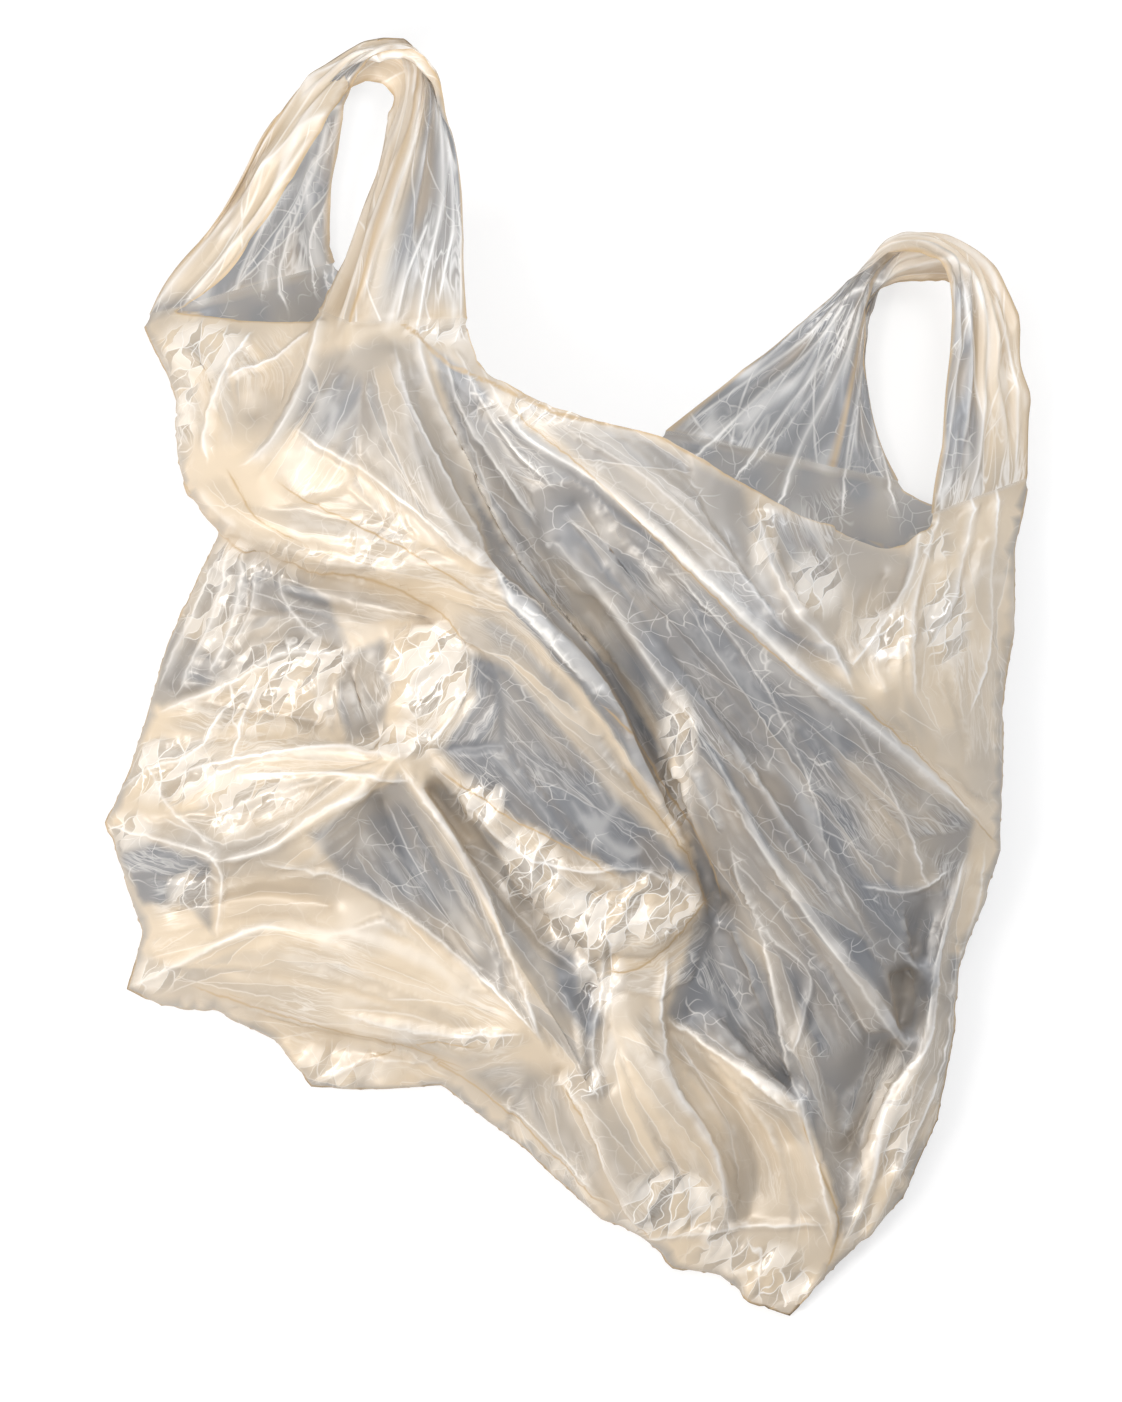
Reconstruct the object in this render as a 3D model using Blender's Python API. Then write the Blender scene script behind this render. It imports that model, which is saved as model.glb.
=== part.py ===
"""A thin film carrier bag with two loop handles, open and crumpled, lying on its back panel.

The bag is one blown and welded tube of film, so it is one object. Its mouth opens towards +Y,
its bottom seal lies towards -Y, and its back panel rests on the plane Z = 0. The lines below
are the bag's edges and its main folds. Each point is (across, down, height): across and down
are places in the reference picture, in pixels, and height is in hundredths of BILLOW.
"""

import math
import random

import bpy
import numpy as np
from mathutils.geometry import delaunay_2d_cdt

# Driving sizes, in metres.
LAID_WIDTH = 0.361
LAID_LENGTH = 0.501
BILLOW = 0.155
FILM = 0.0006
PLEAT_DEPTH = 0.0032
CRUMPLE = 0.0011
PUFF = 0.00016

# The picture's pixels that the laid width and the laid length run between.
PICTURE_LEFT = 105
PICTURE_RIGHT = 1028
PICTURE_TOP = 37
PICTURE_BOTTOM = 1318

# Facets: pixels between the points of the mesh on the front and on the back panel.
FRONT_FACET = 23
BACK_FACET = 44
EDGE_FACET = 25

# Handles: columns of film from the mouth edge to the side fold, and on to the gusset edge.
PANEL_COLUMNS = 6
GUSSET_COLUMNS = 4
HANDLE_ROWS = 34

SETTLING_ROUNDS = 500
SEED = 7

# The film: milky, a little warm, with a dull gloss.
FILM_COLOUR = (0.80, 0.77, 0.72, 1.0)
FILM_ROUGHNESS = 0.35

# The bottom seal, from the left corner to the right one.
BOTTOM_SEAL = [
    (125, 990, 6), (160, 1008, 5), (212, 1012, 6), (275, 1045, 5), (310, 1088, 3),
    (360, 1092, 3), (440, 1088, 4), (520, 1150, 4), (600, 1222, 4), (640, 1240, 4),
    (672, 1270, 3), (720, 1280, 3), (750, 1305, 3), (790, 1318, 3),
]

# The two sides of the lying bag, from the seal up to the handles.
LEFT_SIDE = [
    (125, 990, 6), (140, 935, 12), (105, 822, 20), (128, 770, 21), (146, 712, 20),
    (165, 645, 20), (195, 580, 22), (219, 533, 26), (190, 500, 34), (178, 465, 38),
    (177, 402, 38), (145, 330, 30),
]
RIGHT_SIDE = [
    (790, 1318, 3), (826, 1282, 6), (905, 1200, 10), (940, 1120, 14), (957, 1030, 17),
    (962, 965, 18), (985, 905, 20), (1002, 850, 22), (1003, 790, 22), (1006, 690, 22),
    (1016, 630, 20), (1016, 555, 18), (1028, 490, 16),
]

# The mouth's front half, left to right: the gusset's edge, the front rim and the handles' feet.
LEFT_GUSSET_FOOT = [(145, 330, 30), (178, 314, 32)]
LEFT_GUSSET_RIM = [(178, 314, 32), (240, 322, 38), (316, 325, 50)]
FRONT_LEFT_FOOT_GUSSET = [(316, 325, 50), (348, 342, 70)]
FRONT_LEFT_FOOT_PANEL = [(348, 342, 70), (470, 335, 62)]
FRONT_RIM = [
    (470, 335, 62), (482, 370, 64), (520, 395, 68), (600, 425, 72), (655, 438, 70),
    (740, 485, 64), (830, 530, 52), (895, 547, 42), (927, 528, 36),
]
FRONT_RIGHT_FOOT_PANEL = [(927, 528, 36), (1028, 490, 16)]

# The mouth's back half, right to left.
FRONT_RIGHT_FOOT_GUSSET = [(1028, 490, 16), (958, 505, 8)]
RIGHT_GUSSET_RIM = [(958, 505, 8), (930, 502, 6), (905, 490, 4)]
BACK_RIGHT_FOOT_GUSSET = [(905, 490, 4), (830, 478, 3)]
BACK_RIGHT_FOOT_PANEL = [(830, 478, 3), (655, 437, 2)]
BACK_RIM = [(655, 437, 2), (560, 420, 2), (450, 370, 2), (342, 272, 3)]
BACK_LEFT_FOOT_PANEL = [(342, 272, 3), (145, 330, 30)]

# Each handle's three lines, from the back panel's foot over the loop's top to the front foot.
LEFT_HANDLE_MOUTH_EDGE = [
    (342, 272, 3), (333, 250, 5), (332, 215, 7), (336, 150, 10), (343, 108, 14), (356, 76, 20),
    (385, 52, 26), (416, 52, 27), (437, 80, 28), (449, 120, 31), (461, 180, 38), (465, 260, 50),
    (470, 335, 62),
]
LEFT_HANDLE_FOLD = [
    (145, 330, 30), (165, 290, 28), (205, 237, 26), (236, 182, 24), (267, 128, 21), (300, 92, 17),
    (335, 60, 13), (376, 38, 10), (412, 40, 13), (422, 78, 22), (412, 130, 34), (392, 200, 50),
    (370, 270, 64), (348, 342, 70),
]
LEFT_HANDLE_GUSSET_EDGE = [
    (178, 314, 32), (222, 284, 32), (276, 216, 31), (310, 154, 29), (332, 112, 26), (350, 88, 20),
    (374, 80, 15), (391, 92, 15), (396, 114, 18), (388, 142, 22), (368, 200, 30), (345, 265, 38),
    (316, 325, 50),
]
RIGHT_HANDLE_MOUTH_EDGE = [
    (655, 437, 2), (700, 402, 5), (770, 350, 10), (830, 302, 16), (858, 276, 22), (892, 250, 28),
    (925, 250, 31), (948, 268, 31), (952, 300, 33), (950, 340, 34), (940, 410, 36), (933, 470, 37),
    (927, 528, 36),
]
RIGHT_HANDLE_FOLD = [
    (830, 478, 3), (845, 420, 6), (857, 360, 9), (866, 310, 12), (880, 268, 12), (906, 238, 12),
    (940, 238, 12), (976, 256, 14), (1002, 288, 17), (1015, 320, 18), (1021, 372, 18),
    (1028, 430, 17), (1028, 490, 16),
]
RIGHT_HANDLE_GUSSET_EDGE = [
    (905, 490, 4), (880, 440, 6), (868, 385, 8), (865, 340, 11), (869, 304, 14), (890, 290, 16),
    (919, 285, 16), (945, 280, 12), (965, 290, 9), (972, 318, 8), (968, 380, 8), (962, 450, 8),
    (958, 505, 8),
]

# The front panel's folds: crests, and the valleys under them.
FRONT_FOLDS = {
    "shoulder crest": [
        (200, 488, 46), (232, 522, 54), (300, 556, 62), (386, 574, 70), (450, 580, 74),
        (515, 600, 76), (587, 667, 71), (622, 712, 65), (640, 761, 57), (660, 798, 49),
        (684, 840, 41),
    ],
    "shoulder hollow": [
        (240, 556, 35), (300, 584, 39), (380, 604, 45), (440, 622, 50),
    ],
    "flap crease": [
        (440, 622, 62), (510, 659, 62), (561, 723, 56), (587, 753, 53), (628, 798, 48),
        (662, 833, 43), (684, 868, 39), (703, 903, 36),
    ],
    "flap lip": [
        (430, 752, 48), (470, 795, 46), (515, 850, 43), (560, 905, 40), (600, 938, 38),
        (650, 940, 37), (703, 903, 36),
    ],
    "flap hollow": [
        (424, 782, 40), (455, 822, 37), (500, 880, 34), (545, 940, 31), (585, 972, 30),
        (655, 968, 30), (700, 935, 28), (728, 900, 26),
    ],
    "left blob": [
        (262, 668, 38), (300, 645, 43), (345, 655, 44), (335, 700, 40), (345, 735, 42),
    ],
    "right blob": [
        (392, 640, 46), (430, 628, 58), (476, 655, 60), (470, 690, 53), (430, 745, 50),
        (388, 728, 46),
    ],
    "pit": [(352, 668, 39), (362, 700, 38), (372, 725, 41)],
    "side crest": [
        (128, 822, 26), (175, 842, 34), (223, 860, 40), (265, 850, 44), (311, 826, 48),
        (360, 790, 51), (400, 756, 53),
    ],
    "upper side crest": [
        (150, 800, 28), (205, 765, 36), (262, 745, 41), (320, 748, 45), (400, 756, 53),
    ],
    "side hollow": [(170, 690, 26), (215, 705, 29), (262, 712, 32), (318, 722, 36)],
    "radiating crest": [
        (410, 765, 52), (450, 830, 47), (483, 896, 43), (518, 960, 39), (562, 1030, 35),
        (585, 1078, 31),
    ],
    "radiating hollow": [(385, 800, 42), (405, 850, 37), (440, 910, 34), (480, 970, 33)],
    "hem crest": [
        (150, 958, 19), (190, 948, 26), (229, 938, 31), (279, 932, 34), (340, 948, 35),
        (430, 984, 34), (520, 1030, 33),
    ],
    "hem hollow": [(150, 915, 19), (205, 905, 24), (262, 895, 29), (330, 905, 32)],
    "hem fold": [
        (168, 978, 17), (210, 988, 20), (250, 1000, 22), (315, 1017, 23), (401, 1034, 24),
        (465, 1058, 24), (526, 1046, 29),
    ],
    "hem step": [
        (242, 1018, 9), (300, 1038, 8), (360, 1050, 8), (410, 1056, 9), (455, 1082, 8),
    ],
    "tongue left": [
        (590, 985, 27), (600, 1020, 30), (590, 1060, 30), (596, 1110, 27), (612, 1158, 23),
        (632, 1202, 17), (652, 1226, 11),
    ],
    "tongue left foot": [
        (560, 1070, 22), (572, 1118, 17), (590, 1165, 13), (614, 1212, 8),
    ],
    "tongue right": [
        (625, 1015, 30), (650, 1045, 31), (676, 1091, 30), (700, 1129, 27), (717, 1160, 23),
        (728, 1195, 17), (722, 1238, 9),
    ],
    "tongue right foot": [
        (668, 1030, 21), (700, 1078, 20), (728, 1120, 18), (745, 1165, 14), (750, 1215, 9),
    ],
    "warm panel": [
        (690, 1012, 21), (737, 1062, 25), (793, 1106, 27), (812, 1140, 23), (826, 1182, 18),
        (834, 1222, 13), (830, 1260, 8),
    ],
    "dark valley": [
        (440, 407, 67), (468, 466, 63), (500, 530, 60), (545, 600, 57), (606, 672, 52),
        (642, 745, 46), (674, 808, 39), (704, 868, 33), (716, 950, 24), (742, 1012, 20),
        (790, 1075, 17),
    ],
    "crumpled strip": [
        (590, 610, 58), (649, 691, 58), (684, 765, 51), (702, 830, 42), (737, 898, 36),
        (766, 959, 35), (784, 1026, 33), (806, 1088, 29), (820, 1149, 23), (838, 1205, 15),
    ],
    "light crest": [
        (560, 545, 66), (620, 620, 65), (665, 688, 65), (721, 771, 62), (767, 852, 56),
        (820, 921, 48), (878, 1000, 36), (905, 1042, 26),
    ],
    "strip hollow": [(720, 850, 44), (775, 915, 40), (812, 975, 34), (840, 1060, 26)],
    "grey hollow": [
        (575, 505, 67), (650, 600, 63), (735, 705, 59), (815, 812, 51), (875, 905, 41),
        (925, 985, 26),
    ],
    "long crest": [
        (478, 385, 67), (519, 437, 71), (589, 480, 74), (648, 530, 76), (701, 579, 76),
        (755, 629, 75), (800, 672, 73), (860, 718, 66), (925, 775, 52), (975, 826, 33),
    ],
    "rim tuck": [(752, 512, 60), (772, 560, 70), (800, 612, 80)],
    "band hollow": [(880, 580, 48), (868, 635, 62), (880, 690, 66)],
    "band crest": [(925, 560, 42), (905, 625, 58), (908, 690, 60), (935, 745, 52)],
    "outer band crest": [(985, 540, 32), (972, 610, 38), (978, 690, 36), (982, 770, 30)],
    "side strip": [
        (968, 850, 29), (955, 895, 31), (941, 934, 30), (930, 991, 28), (919, 1059, 24),
        (897, 1100, 21), (876, 1149, 17), (856, 1199, 13), (836, 1249, 8),
    ],
    "side strip foot": [
        (925, 900, 30), (908, 975, 20), (895, 1045, 15), (872, 1095, 13), (848, 1150, 11),
    ],
    "gusset crest": [(178, 345, 38), (205, 368, 48), (218, 410, 54), (232, 448, 56)],
    "gusset hollow": [(240, 345, 44), (262, 380, 49), (258, 420, 54)],
    "left band crest": [(345, 362, 70), (322, 405, 71), (290, 450, 68), (262, 480, 62)],
    "middle band crest": [(396, 362, 72), (410, 430, 77), (440, 510, 79), (480, 560, 79)],
}

# The back panel touches the plane Z = 0 inside this line.
RESTING_LINE = [
    (205, 900), (190, 760), (230, 630), (265, 520), (262, 420), (330, 372), (450, 450),
    (560, 480), (700, 530), (850, 580), (930, 650), (930, 800), (905, 950), (850, 1100),
    (780, 1215), (700, 1190), (600, 1110), (500, 1060), (380, 1010), (260, 960),
]


def clear_scene():
    for old in list(bpy.data.objects):
        bpy.data.objects.remove(old, do_unlink=True)


def place(point):
    """A guide point in metres, in the bag's own frame."""
    across, down, height = point
    x = LAID_WIDTH * ((across - PICTURE_LEFT) / (PICTURE_RIGHT - PICTURE_LEFT) - 0.5)
    y = LAID_LENGTH * (0.5 - (down - PICTURE_TOP) / (PICTURE_BOTTOM - PICTURE_TOP))
    return (x, y, BILLOW * height / 100)


def between(start, end, share):
    return tuple(a + (b - a) * share for a, b in zip(start, end))


def plan_distance(a, b):
    return math.hypot(a[0] - b[0], a[1] - b[1])


def divided(line, pieces):
    """A straight line cut into equal pieces."""
    return [between(line[0], line[-1], i / pieces) for i in range(pieces + 1)]


def spaced(line, spacing):
    """A chain of straight lines, cut so that no piece is much longer than the spacing."""
    points = [line[0]]
    for start, end in zip(line, line[1:]):
        pieces = max(1, round(plan_distance(start, end) / spacing))
        points += [between(start, end, i / pieces) for i in range(1, pieces + 1)]
    return points


def smooth_path(line, count):
    """Count points, evenly spread, on a smooth curve through the line's own points."""
    known = np.array(line, float)
    steps = np.linalg.norm(np.diff(known, axis=0), axis=1)
    along = np.concatenate([[0], np.cumsum(steps)])
    slopes = np.gradient(known, along, axis=0)
    wanted = np.linspace(0, along[-1], count)
    piece = np.clip(np.searchsorted(along, wanted, side="right") - 1, 0, len(steps) - 1)
    length = steps[piece][:, None]
    t = ((wanted - along[piece])[:, None]) / length
    return (
        (2 * t**3 - 3 * t**2 + 1) * known[piece]
        + (t**3 - 2 * t**2 + t) * length * slopes[piece]
        + (3 * t**2 - 2 * t**3) * known[piece + 1]
        + (t**3 - t**2) * length * slopes[piece + 1]
    )


def joined(*lines):
    """Lines that meet end to end, as one closed loop with no point twice."""
    return [point for line in lines for point in line[:-1]]


def inside(loop, across, down):
    """Whether a plan point is inside a closed loop."""
    within = False
    for (ax, ay, *_), (bx, by, *_) in zip(loop, loop[1:] + loop[:1]):
        if (ay > down) != (by > down) and across < ax + (down - ay) * (bx - ax) / (by - ay):
            within = not within
    return within


def nearest(points, across, down):
    gaps = np.hypot(points[:, 0] - across, points[:, 1] - down)
    return gaps.min()


def edge_lines():
    """The bag's edges, cut to the mesh's points; both panels share these."""
    return {
        "seal": spaced(BOTTOM_SEAL, EDGE_FACET),
        "left": spaced(LEFT_SIDE, EDGE_FACET),
        "right": spaced(RIGHT_SIDE, EDGE_FACET),
        "left_gusset_foot": divided(LEFT_GUSSET_FOOT, GUSSET_COLUMNS),
        "left_gusset_rim": spaced(LEFT_GUSSET_RIM, EDGE_FACET),
        "front_left_gusset": divided(FRONT_LEFT_FOOT_GUSSET, GUSSET_COLUMNS),
        "front_left_panel": divided(FRONT_LEFT_FOOT_PANEL, PANEL_COLUMNS),
        "front_rim": spaced(FRONT_RIM, EDGE_FACET),
        "front_right_panel": divided(FRONT_RIGHT_FOOT_PANEL, PANEL_COLUMNS),
        "front_right_gusset": divided(FRONT_RIGHT_FOOT_GUSSET, GUSSET_COLUMNS),
        "right_gusset_rim": spaced(RIGHT_GUSSET_RIM, EDGE_FACET),
        "back_right_gusset": divided(BACK_RIGHT_FOOT_GUSSET, GUSSET_COLUMNS),
        "back_right_panel": divided(BACK_RIGHT_FOOT_PANEL, PANEL_COLUMNS),
        "back_rim": spaced(BACK_RIM, EDGE_FACET),
        "back_left_panel": divided(BACK_LEFT_FOOT_PANEL, PANEL_COLUMNS),
    }


def front_outline(edges):
    return joined(
        edges["seal"],
        edges["right"],
        edges["front_right_panel"][::-1],
        edges["front_rim"][::-1],
        edges["front_left_panel"][::-1],
        edges["front_left_gusset"][::-1],
        edges["left_gusset_rim"][::-1],
        edges["left_gusset_foot"][::-1],
        edges["left"][::-1],
    )


def back_outline(edges):
    return joined(
        edges["seal"],
        edges["right"],
        edges["front_right_gusset"],
        edges["right_gusset_rim"],
        edges["back_right_gusset"],
        edges["back_right_panel"],
        edges["back_rim"],
        edges["back_left_panel"],
        edges["left"][::-1],
    )


def scatter(outline, taken, spacing, rng):
    """Points on a shaken triangular grid inside the outline, clear of the points taken."""
    found = []
    rows = int((PICTURE_BOTTOM - PICTURE_TOP) / (spacing * 0.87)) + 1
    columns = int((PICTURE_RIGHT - PICTURE_LEFT) / spacing) + 1
    taken = np.array([point[:2] for point in taken])
    for row in range(rows):
        for column in range(columns):
            across = PICTURE_LEFT + (column + 0.5 * (row % 2)) * spacing
            down = PICTURE_TOP + row * spacing * 0.87
            across += rng.uniform(-0.2, 0.2) * spacing
            down += rng.uniform(-0.2, 0.2) * spacing
            if inside(outline, across, down) and nearest(taken, across, down) > 0.6 * spacing:
                found.append((across, down, 0.0))
    return found


def fold_points(folds, outline, spacing):
    """The folds as chains of points that keep clear of the outline and of each other."""
    edge = np.array([point[:2] for point in outline])
    points = []
    links = []
    for line in folds.values():
        chain = []
        for point in spaced(line, spacing):
            if not inside(outline, *point[:2]) or nearest(edge, *point[:2]) < 0.4 * spacing:
                continue
            near = [i for i, p in enumerate(points) if plan_distance(p, point) < 0.4 * spacing]
            if near:
                chain.append(near[0])
                continue
            chain.append(len(points))
            points.append(point)
        links += [(a, b) for a, b in zip(chain, chain[1:]) if a != b]
    return points, [(a, b) for a, b in links if not crosses(edge, points[a], points[b])]


def crosses(loop, start, end):
    """Whether the straight line between two plan points crosses a closed loop."""
    after = np.roll(loop, -1, axis=0)
    run = (end[0] - start[0], end[1] - start[1])
    sides = after - loop

    def side_of_run(points):
        return run[0] * (points[:, 1] - start[1]) - run[1] * (points[:, 0] - start[0])

    def side_of_loop(point):
        return sides[:, 0] * (point[1] - loop[:, 1]) - sides[:, 1] * (point[0] - loop[:, 0])

    apart = side_of_run(loop) * side_of_run(after) < 0
    return bool((apart & (side_of_loop(start) * side_of_loop(end) < 0)).any())


def chord_middles(outline, origin, faces):
    """The middle of every mesh edge that joins two outline points across the panel."""
    count = len(outline)
    chords = set()
    for face in faces:
        for corner in range(3):
            pair = sorted((origin[face[corner]], origin[face[corner - 1]]))
            if pair[1] < count and pair[1] - pair[0] not in (1, count - 1):
                chords.add(tuple(pair))
    return [between(outline[a], outline[b], 0.5)[:2] + (0.0,) for a, b in sorted(chords)]


def triangulated(outline, points, links):
    """Triangles over the outline and the points, with every link kept as an edge.

    It gives the plan points, their heights, the place of each in outline + points, and the faces.
    """
    first = len(outline)
    plan = [(p[0], -p[1]) for p in outline + points]
    edges = [(a + first, b + first) for a, b in links]
    verts, _, faces, source, _, _ = delaunay_2d_cdt(plan, edges, [list(range(first))], 1, 1e-4)
    known = outline + points
    origin = np.array([s[0] if s else len(known) for s in source])
    heights = np.array([known[i][2] if i < len(known) else 0.0 for i in origin])
    return [(v[0], -v[1]) for v in verts], heights, origin, faces


def settle(heights, held, faces, puff):
    """Lets the free points hang taut between the held ones, lifted a little by the puff."""
    ends = np.array([(f[i], f[i - 1]) for f in faces for i in range(3)])
    both = np.concatenate([ends, ends[:, ::-1]])
    count = np.bincount(both[:, 0], minlength=len(heights))
    count[count == 0] = 1
    for _ in range(SETTLING_ROUNDS):
        total = np.bincount(both[:, 0], weights=heights[both[:, 1]], minlength=len(heights))
        heights = np.where(held, heights, total / count + puff)
    return heights


def panel(outline, folds, spacing, rng):
    """The front panel: taut film between its folds, with a small crumple."""
    points, links = fold_points(folds, outline, spacing)
    loose = scatter(outline, outline + points, spacing, rng)
    plan, heights, origin, faces = triangulated(outline, points + loose, links)
    middles = chord_middles(outline, origin, faces)
    if middles:
        plan, heights, origin, faces = triangulated(outline, points + loose + middles, links)
    held = origin < len(outline) + len(points)
    level = settle(heights, held, faces, 100 * PUFF / BILLOW)
    shake = 100 * CRUMPLE / BILLOW
    jitter = np.array([rng.uniform(-shake, shake) for _ in plan])
    level = np.where(origin < len(outline), level, level + jitter)
    return [(p[0], p[1], h) for p, h in zip(plan, level)], faces


def back_panel(outline, spacing, rng):
    """The back panel: flat on the floor inside the resting line, curling up to its edges."""
    line = [(across, down, 0.0) for across, down in RESTING_LINE]
    rest = spaced(line + line[:1], spacing)[:-1]
    links = [(i, (i + 1) % len(rest)) for i in range(len(rest))]
    loose = scatter(outline, outline + rest, spacing, rng)
    plan, heights, origin, faces = triangulated(outline, rest + loose, links)
    lying = np.array([inside(line, *point) for point in plan])
    level = settle(heights, lying | (origin < len(outline) + len(rest)), faces, 0.0)
    return [(p[0], p[1], h) for p, h in zip(plan, level)], [tuple(reversed(f)) for f in faces]


def handle(mouth_edge, fold, gusset_edge, feet, turned):
    """One loop: rows of pleated film from the back foot, over the top, to the front foot."""
    paths = [smooth_path(line, HANDLE_ROWS + 1) for line in (mouth_edge, fold, gusset_edge)]
    rows = []
    for row in range(HANDLE_ROWS + 1):
        mouth, side, gusset = (tuple(path[row]) for path in paths)
        points = divided([mouth, side], PANEL_COLUMNS)[:-1]
        points += divided([side, gusset], GUSSET_COLUMNS)
        rise = math.sin(math.pi * row / HANDLE_ROWS)
        depth = 100 * PLEAT_DEPTH / BILLOW * min(1.0, 1.6 * rise)
        points = [
            (p[0], p[1], p[2] + depth * (1 if column % 2 else -1))
            for column, p in enumerate(points)
        ]
        rows.append(points)
    rows[0] = feet[0]
    rows[-1] = feet[1]
    faces = []
    for above, below in zip(rows, rows[1:]):
        for column in range(PANEL_COLUMNS + GUSSET_COLUMNS):
            face = [above[column], above[column + 1], below[column + 1], below[column]]
            faces.append(face[::-1] if turned else face)
    return faces


def handles(edges):
    left_back = edges["back_left_panel"] + edges["left_gusset_foot"][1:]
    left_front = (edges["front_left_gusset"] + edges["front_left_panel"][1:])[::-1]
    right_back = (edges["back_right_gusset"] + edges["back_right_panel"][1:])[::-1]
    right_front = edges["front_right_panel"] + edges["front_right_gusset"][1:]
    left = handle(
        LEFT_HANDLE_MOUTH_EDGE,
        LEFT_HANDLE_FOLD,
        LEFT_HANDLE_GUSSET_EDGE,
        (left_back, left_front),
        turned=False,
    )
    right = handle(
        RIGHT_HANDLE_MOUTH_EDGE,
        RIGHT_HANDLE_FOLD,
        RIGHT_HANDLE_GUSSET_EDGE,
        (right_back, right_front),
        turned=True,
    )
    return left + right


def film_material():
    material = bpy.data.materials.new("film")
    material.use_nodes = True
    shader = material.node_tree.nodes["Principled BSDF"]
    shader.inputs["Base Color"].default_value = FILM_COLOUR
    shader.inputs["Roughness"].default_value = FILM_ROUGHNESS
    shader.inputs["Metallic"].default_value = 0.0
    material.diffuse_color = FILM_COLOUR
    return material


def sheet_mesh(faces):
    """One mesh of faces given by their corners, with corners at one place made one point."""
    index = {}
    corners = []
    for face in faces:
        corner = []
        for point in face:
            key = tuple(round(float(value), 3) for value in point)
            corner.append(index.setdefault(key, len(index)))
        corners.append(corner)
    mesh = bpy.data.meshes.new("carrier_bag")
    mesh.from_pydata([place(point) for point in index], [], corners)
    mesh.validate()
    return mesh


def carrier_bag():
    """The whole bag: two panels, two handles, given the film's thickness inwards."""
    rng = random.Random(SEED)
    edges = edge_lines()
    faces = []
    for points, triangles in (
        panel(front_outline(edges), FRONT_FOLDS, FRONT_FACET, rng),
        back_panel(back_outline(edges), BACK_FACET, rng),
    ):
        faces += [[points[i] for i in triangle] for triangle in triangles]
    mesh = sheet_mesh(faces + handles(edges))
    mesh.shade_smooth()
    bag = bpy.data.objects.new("carrier_bag", mesh)
    bpy.context.scene.collection.objects.link(bag)
    bag.data.materials.append(film_material())
    wall = bag.modifiers.new("film", "SOLIDIFY")
    wall.thickness = FILM
    wall.offset = -1.0
    return bag


clear_scene()
carrier_bag()
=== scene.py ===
"""A see-through film carrier bag with two loop handles, open and crumpled, seen from above.

The bag is one sheet of film: a front and a back panel that meet at the two sides and at the
bottom seal, and two handle loops. Its edges and folds are guide lines. Each guide point is
(across, down, height): across and down are places in the reference picture, in pixels, and
height is in hundredths of the billow. The film hangs taut between its folds, and is then cut
finer and creased.
"""

import math
from collections import namedtuple

import bpy
import numpy as np
from bpy.props import FloatProperty, FloatVectorProperty, IntProperty, PointerProperty
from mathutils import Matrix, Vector
from mathutils.geometry import delaunay_2d_cdt


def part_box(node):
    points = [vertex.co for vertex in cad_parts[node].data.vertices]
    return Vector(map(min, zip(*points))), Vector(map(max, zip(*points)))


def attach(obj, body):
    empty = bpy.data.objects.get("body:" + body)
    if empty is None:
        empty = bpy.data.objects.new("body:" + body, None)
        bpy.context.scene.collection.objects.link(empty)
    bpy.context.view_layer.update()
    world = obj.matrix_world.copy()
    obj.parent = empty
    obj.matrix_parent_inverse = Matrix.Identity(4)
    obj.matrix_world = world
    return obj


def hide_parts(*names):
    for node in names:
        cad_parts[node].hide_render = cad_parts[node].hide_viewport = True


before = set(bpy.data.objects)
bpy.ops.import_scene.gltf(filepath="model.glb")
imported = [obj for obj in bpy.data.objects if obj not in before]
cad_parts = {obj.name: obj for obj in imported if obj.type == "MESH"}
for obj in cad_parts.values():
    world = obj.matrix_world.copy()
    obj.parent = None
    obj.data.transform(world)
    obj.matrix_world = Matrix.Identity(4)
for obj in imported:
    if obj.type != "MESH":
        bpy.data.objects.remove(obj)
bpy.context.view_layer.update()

bl_info = {
    "name": "Film Carrier Bag",
    "version": (1, 0, 0),
    "blender": (4, 5, 0),
    "location": "3D View > Sidebar > Carrier Bag",
    "description": "Builds a crumpled see-through carrier bag and a plain studio around it",
    "category": "Add Mesh",
}

BAG_LOW, BAG_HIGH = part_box("carrier_bag")

# The picture's pixels that the laid width and the laid length run between.
PICTURE_LEFT = 105
PICTURE_RIGHT = 1028
PICTURE_TOP = 37
PICTURE_BOTTOM = 1318
PICTURE_WIDTH = 1122
PICTURE_HEIGHT = 1402

# Handles: columns of film from the mouth edge to the side fold, and on to the gusset edge.
PANEL_COLUMNS = 10
GUSSET_COLUMNS = 6
HANDLE_ROWS = 36

# The seed of both panels' loose points, and the lift that makes the front panel bulge where its
# facets are PUFF_FACET pixels long.
FILM_SEED = 7
PUFF = 0.1
PUFF_FACET = 23

# In facet lengths: the step between rows of loose points, how far each is shaken, and how far
# loose points and fold points keep from other points.
ROW_STEP = 0.87
SHAKE = 0.22
LOOSE_GAP = 0.6
FOLD_POINT_GAP = 0.4

# The most rounds in which film is hung taut, and the least and the most that a facet pulls.
SETTLE_ROUNDS = 600
LEAST_PULL = 0.02
MOST_PULL = 20

# Points are welded where they are the same with a pixel cut into this many steps.
WELD_STEPS = 1000

# In pixels: the farthest gap to a line that is kept, a handle's width and length, how far apart
# two folds' places are counted, and the points' spacing along edges.
FAR = 12.0
STRIP_WIDTH = 90.0
HANDLE_LENGTH = 620.0
FOLD_STEP = 150
EDGE_SPACING = 15.0

# A point clearly lies beside one fold when the next fold is much farther and the fold's end is
# far: both in pixels, from not clear to clear. A handle's film counts as clearer than any.
NEXT_FOLD = (1, 9)
FOLD_END = (0, 25)
HANDLE_CLEAR = 1.6

# The share by which points are eased at once, the rounds of easing after the first, and the gap
# in pixels to a fold or an edge from which they are eased by all of it.
EASED = 0.5
EASED_ROUNDS = 8
EASED_GAP = 9

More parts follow.
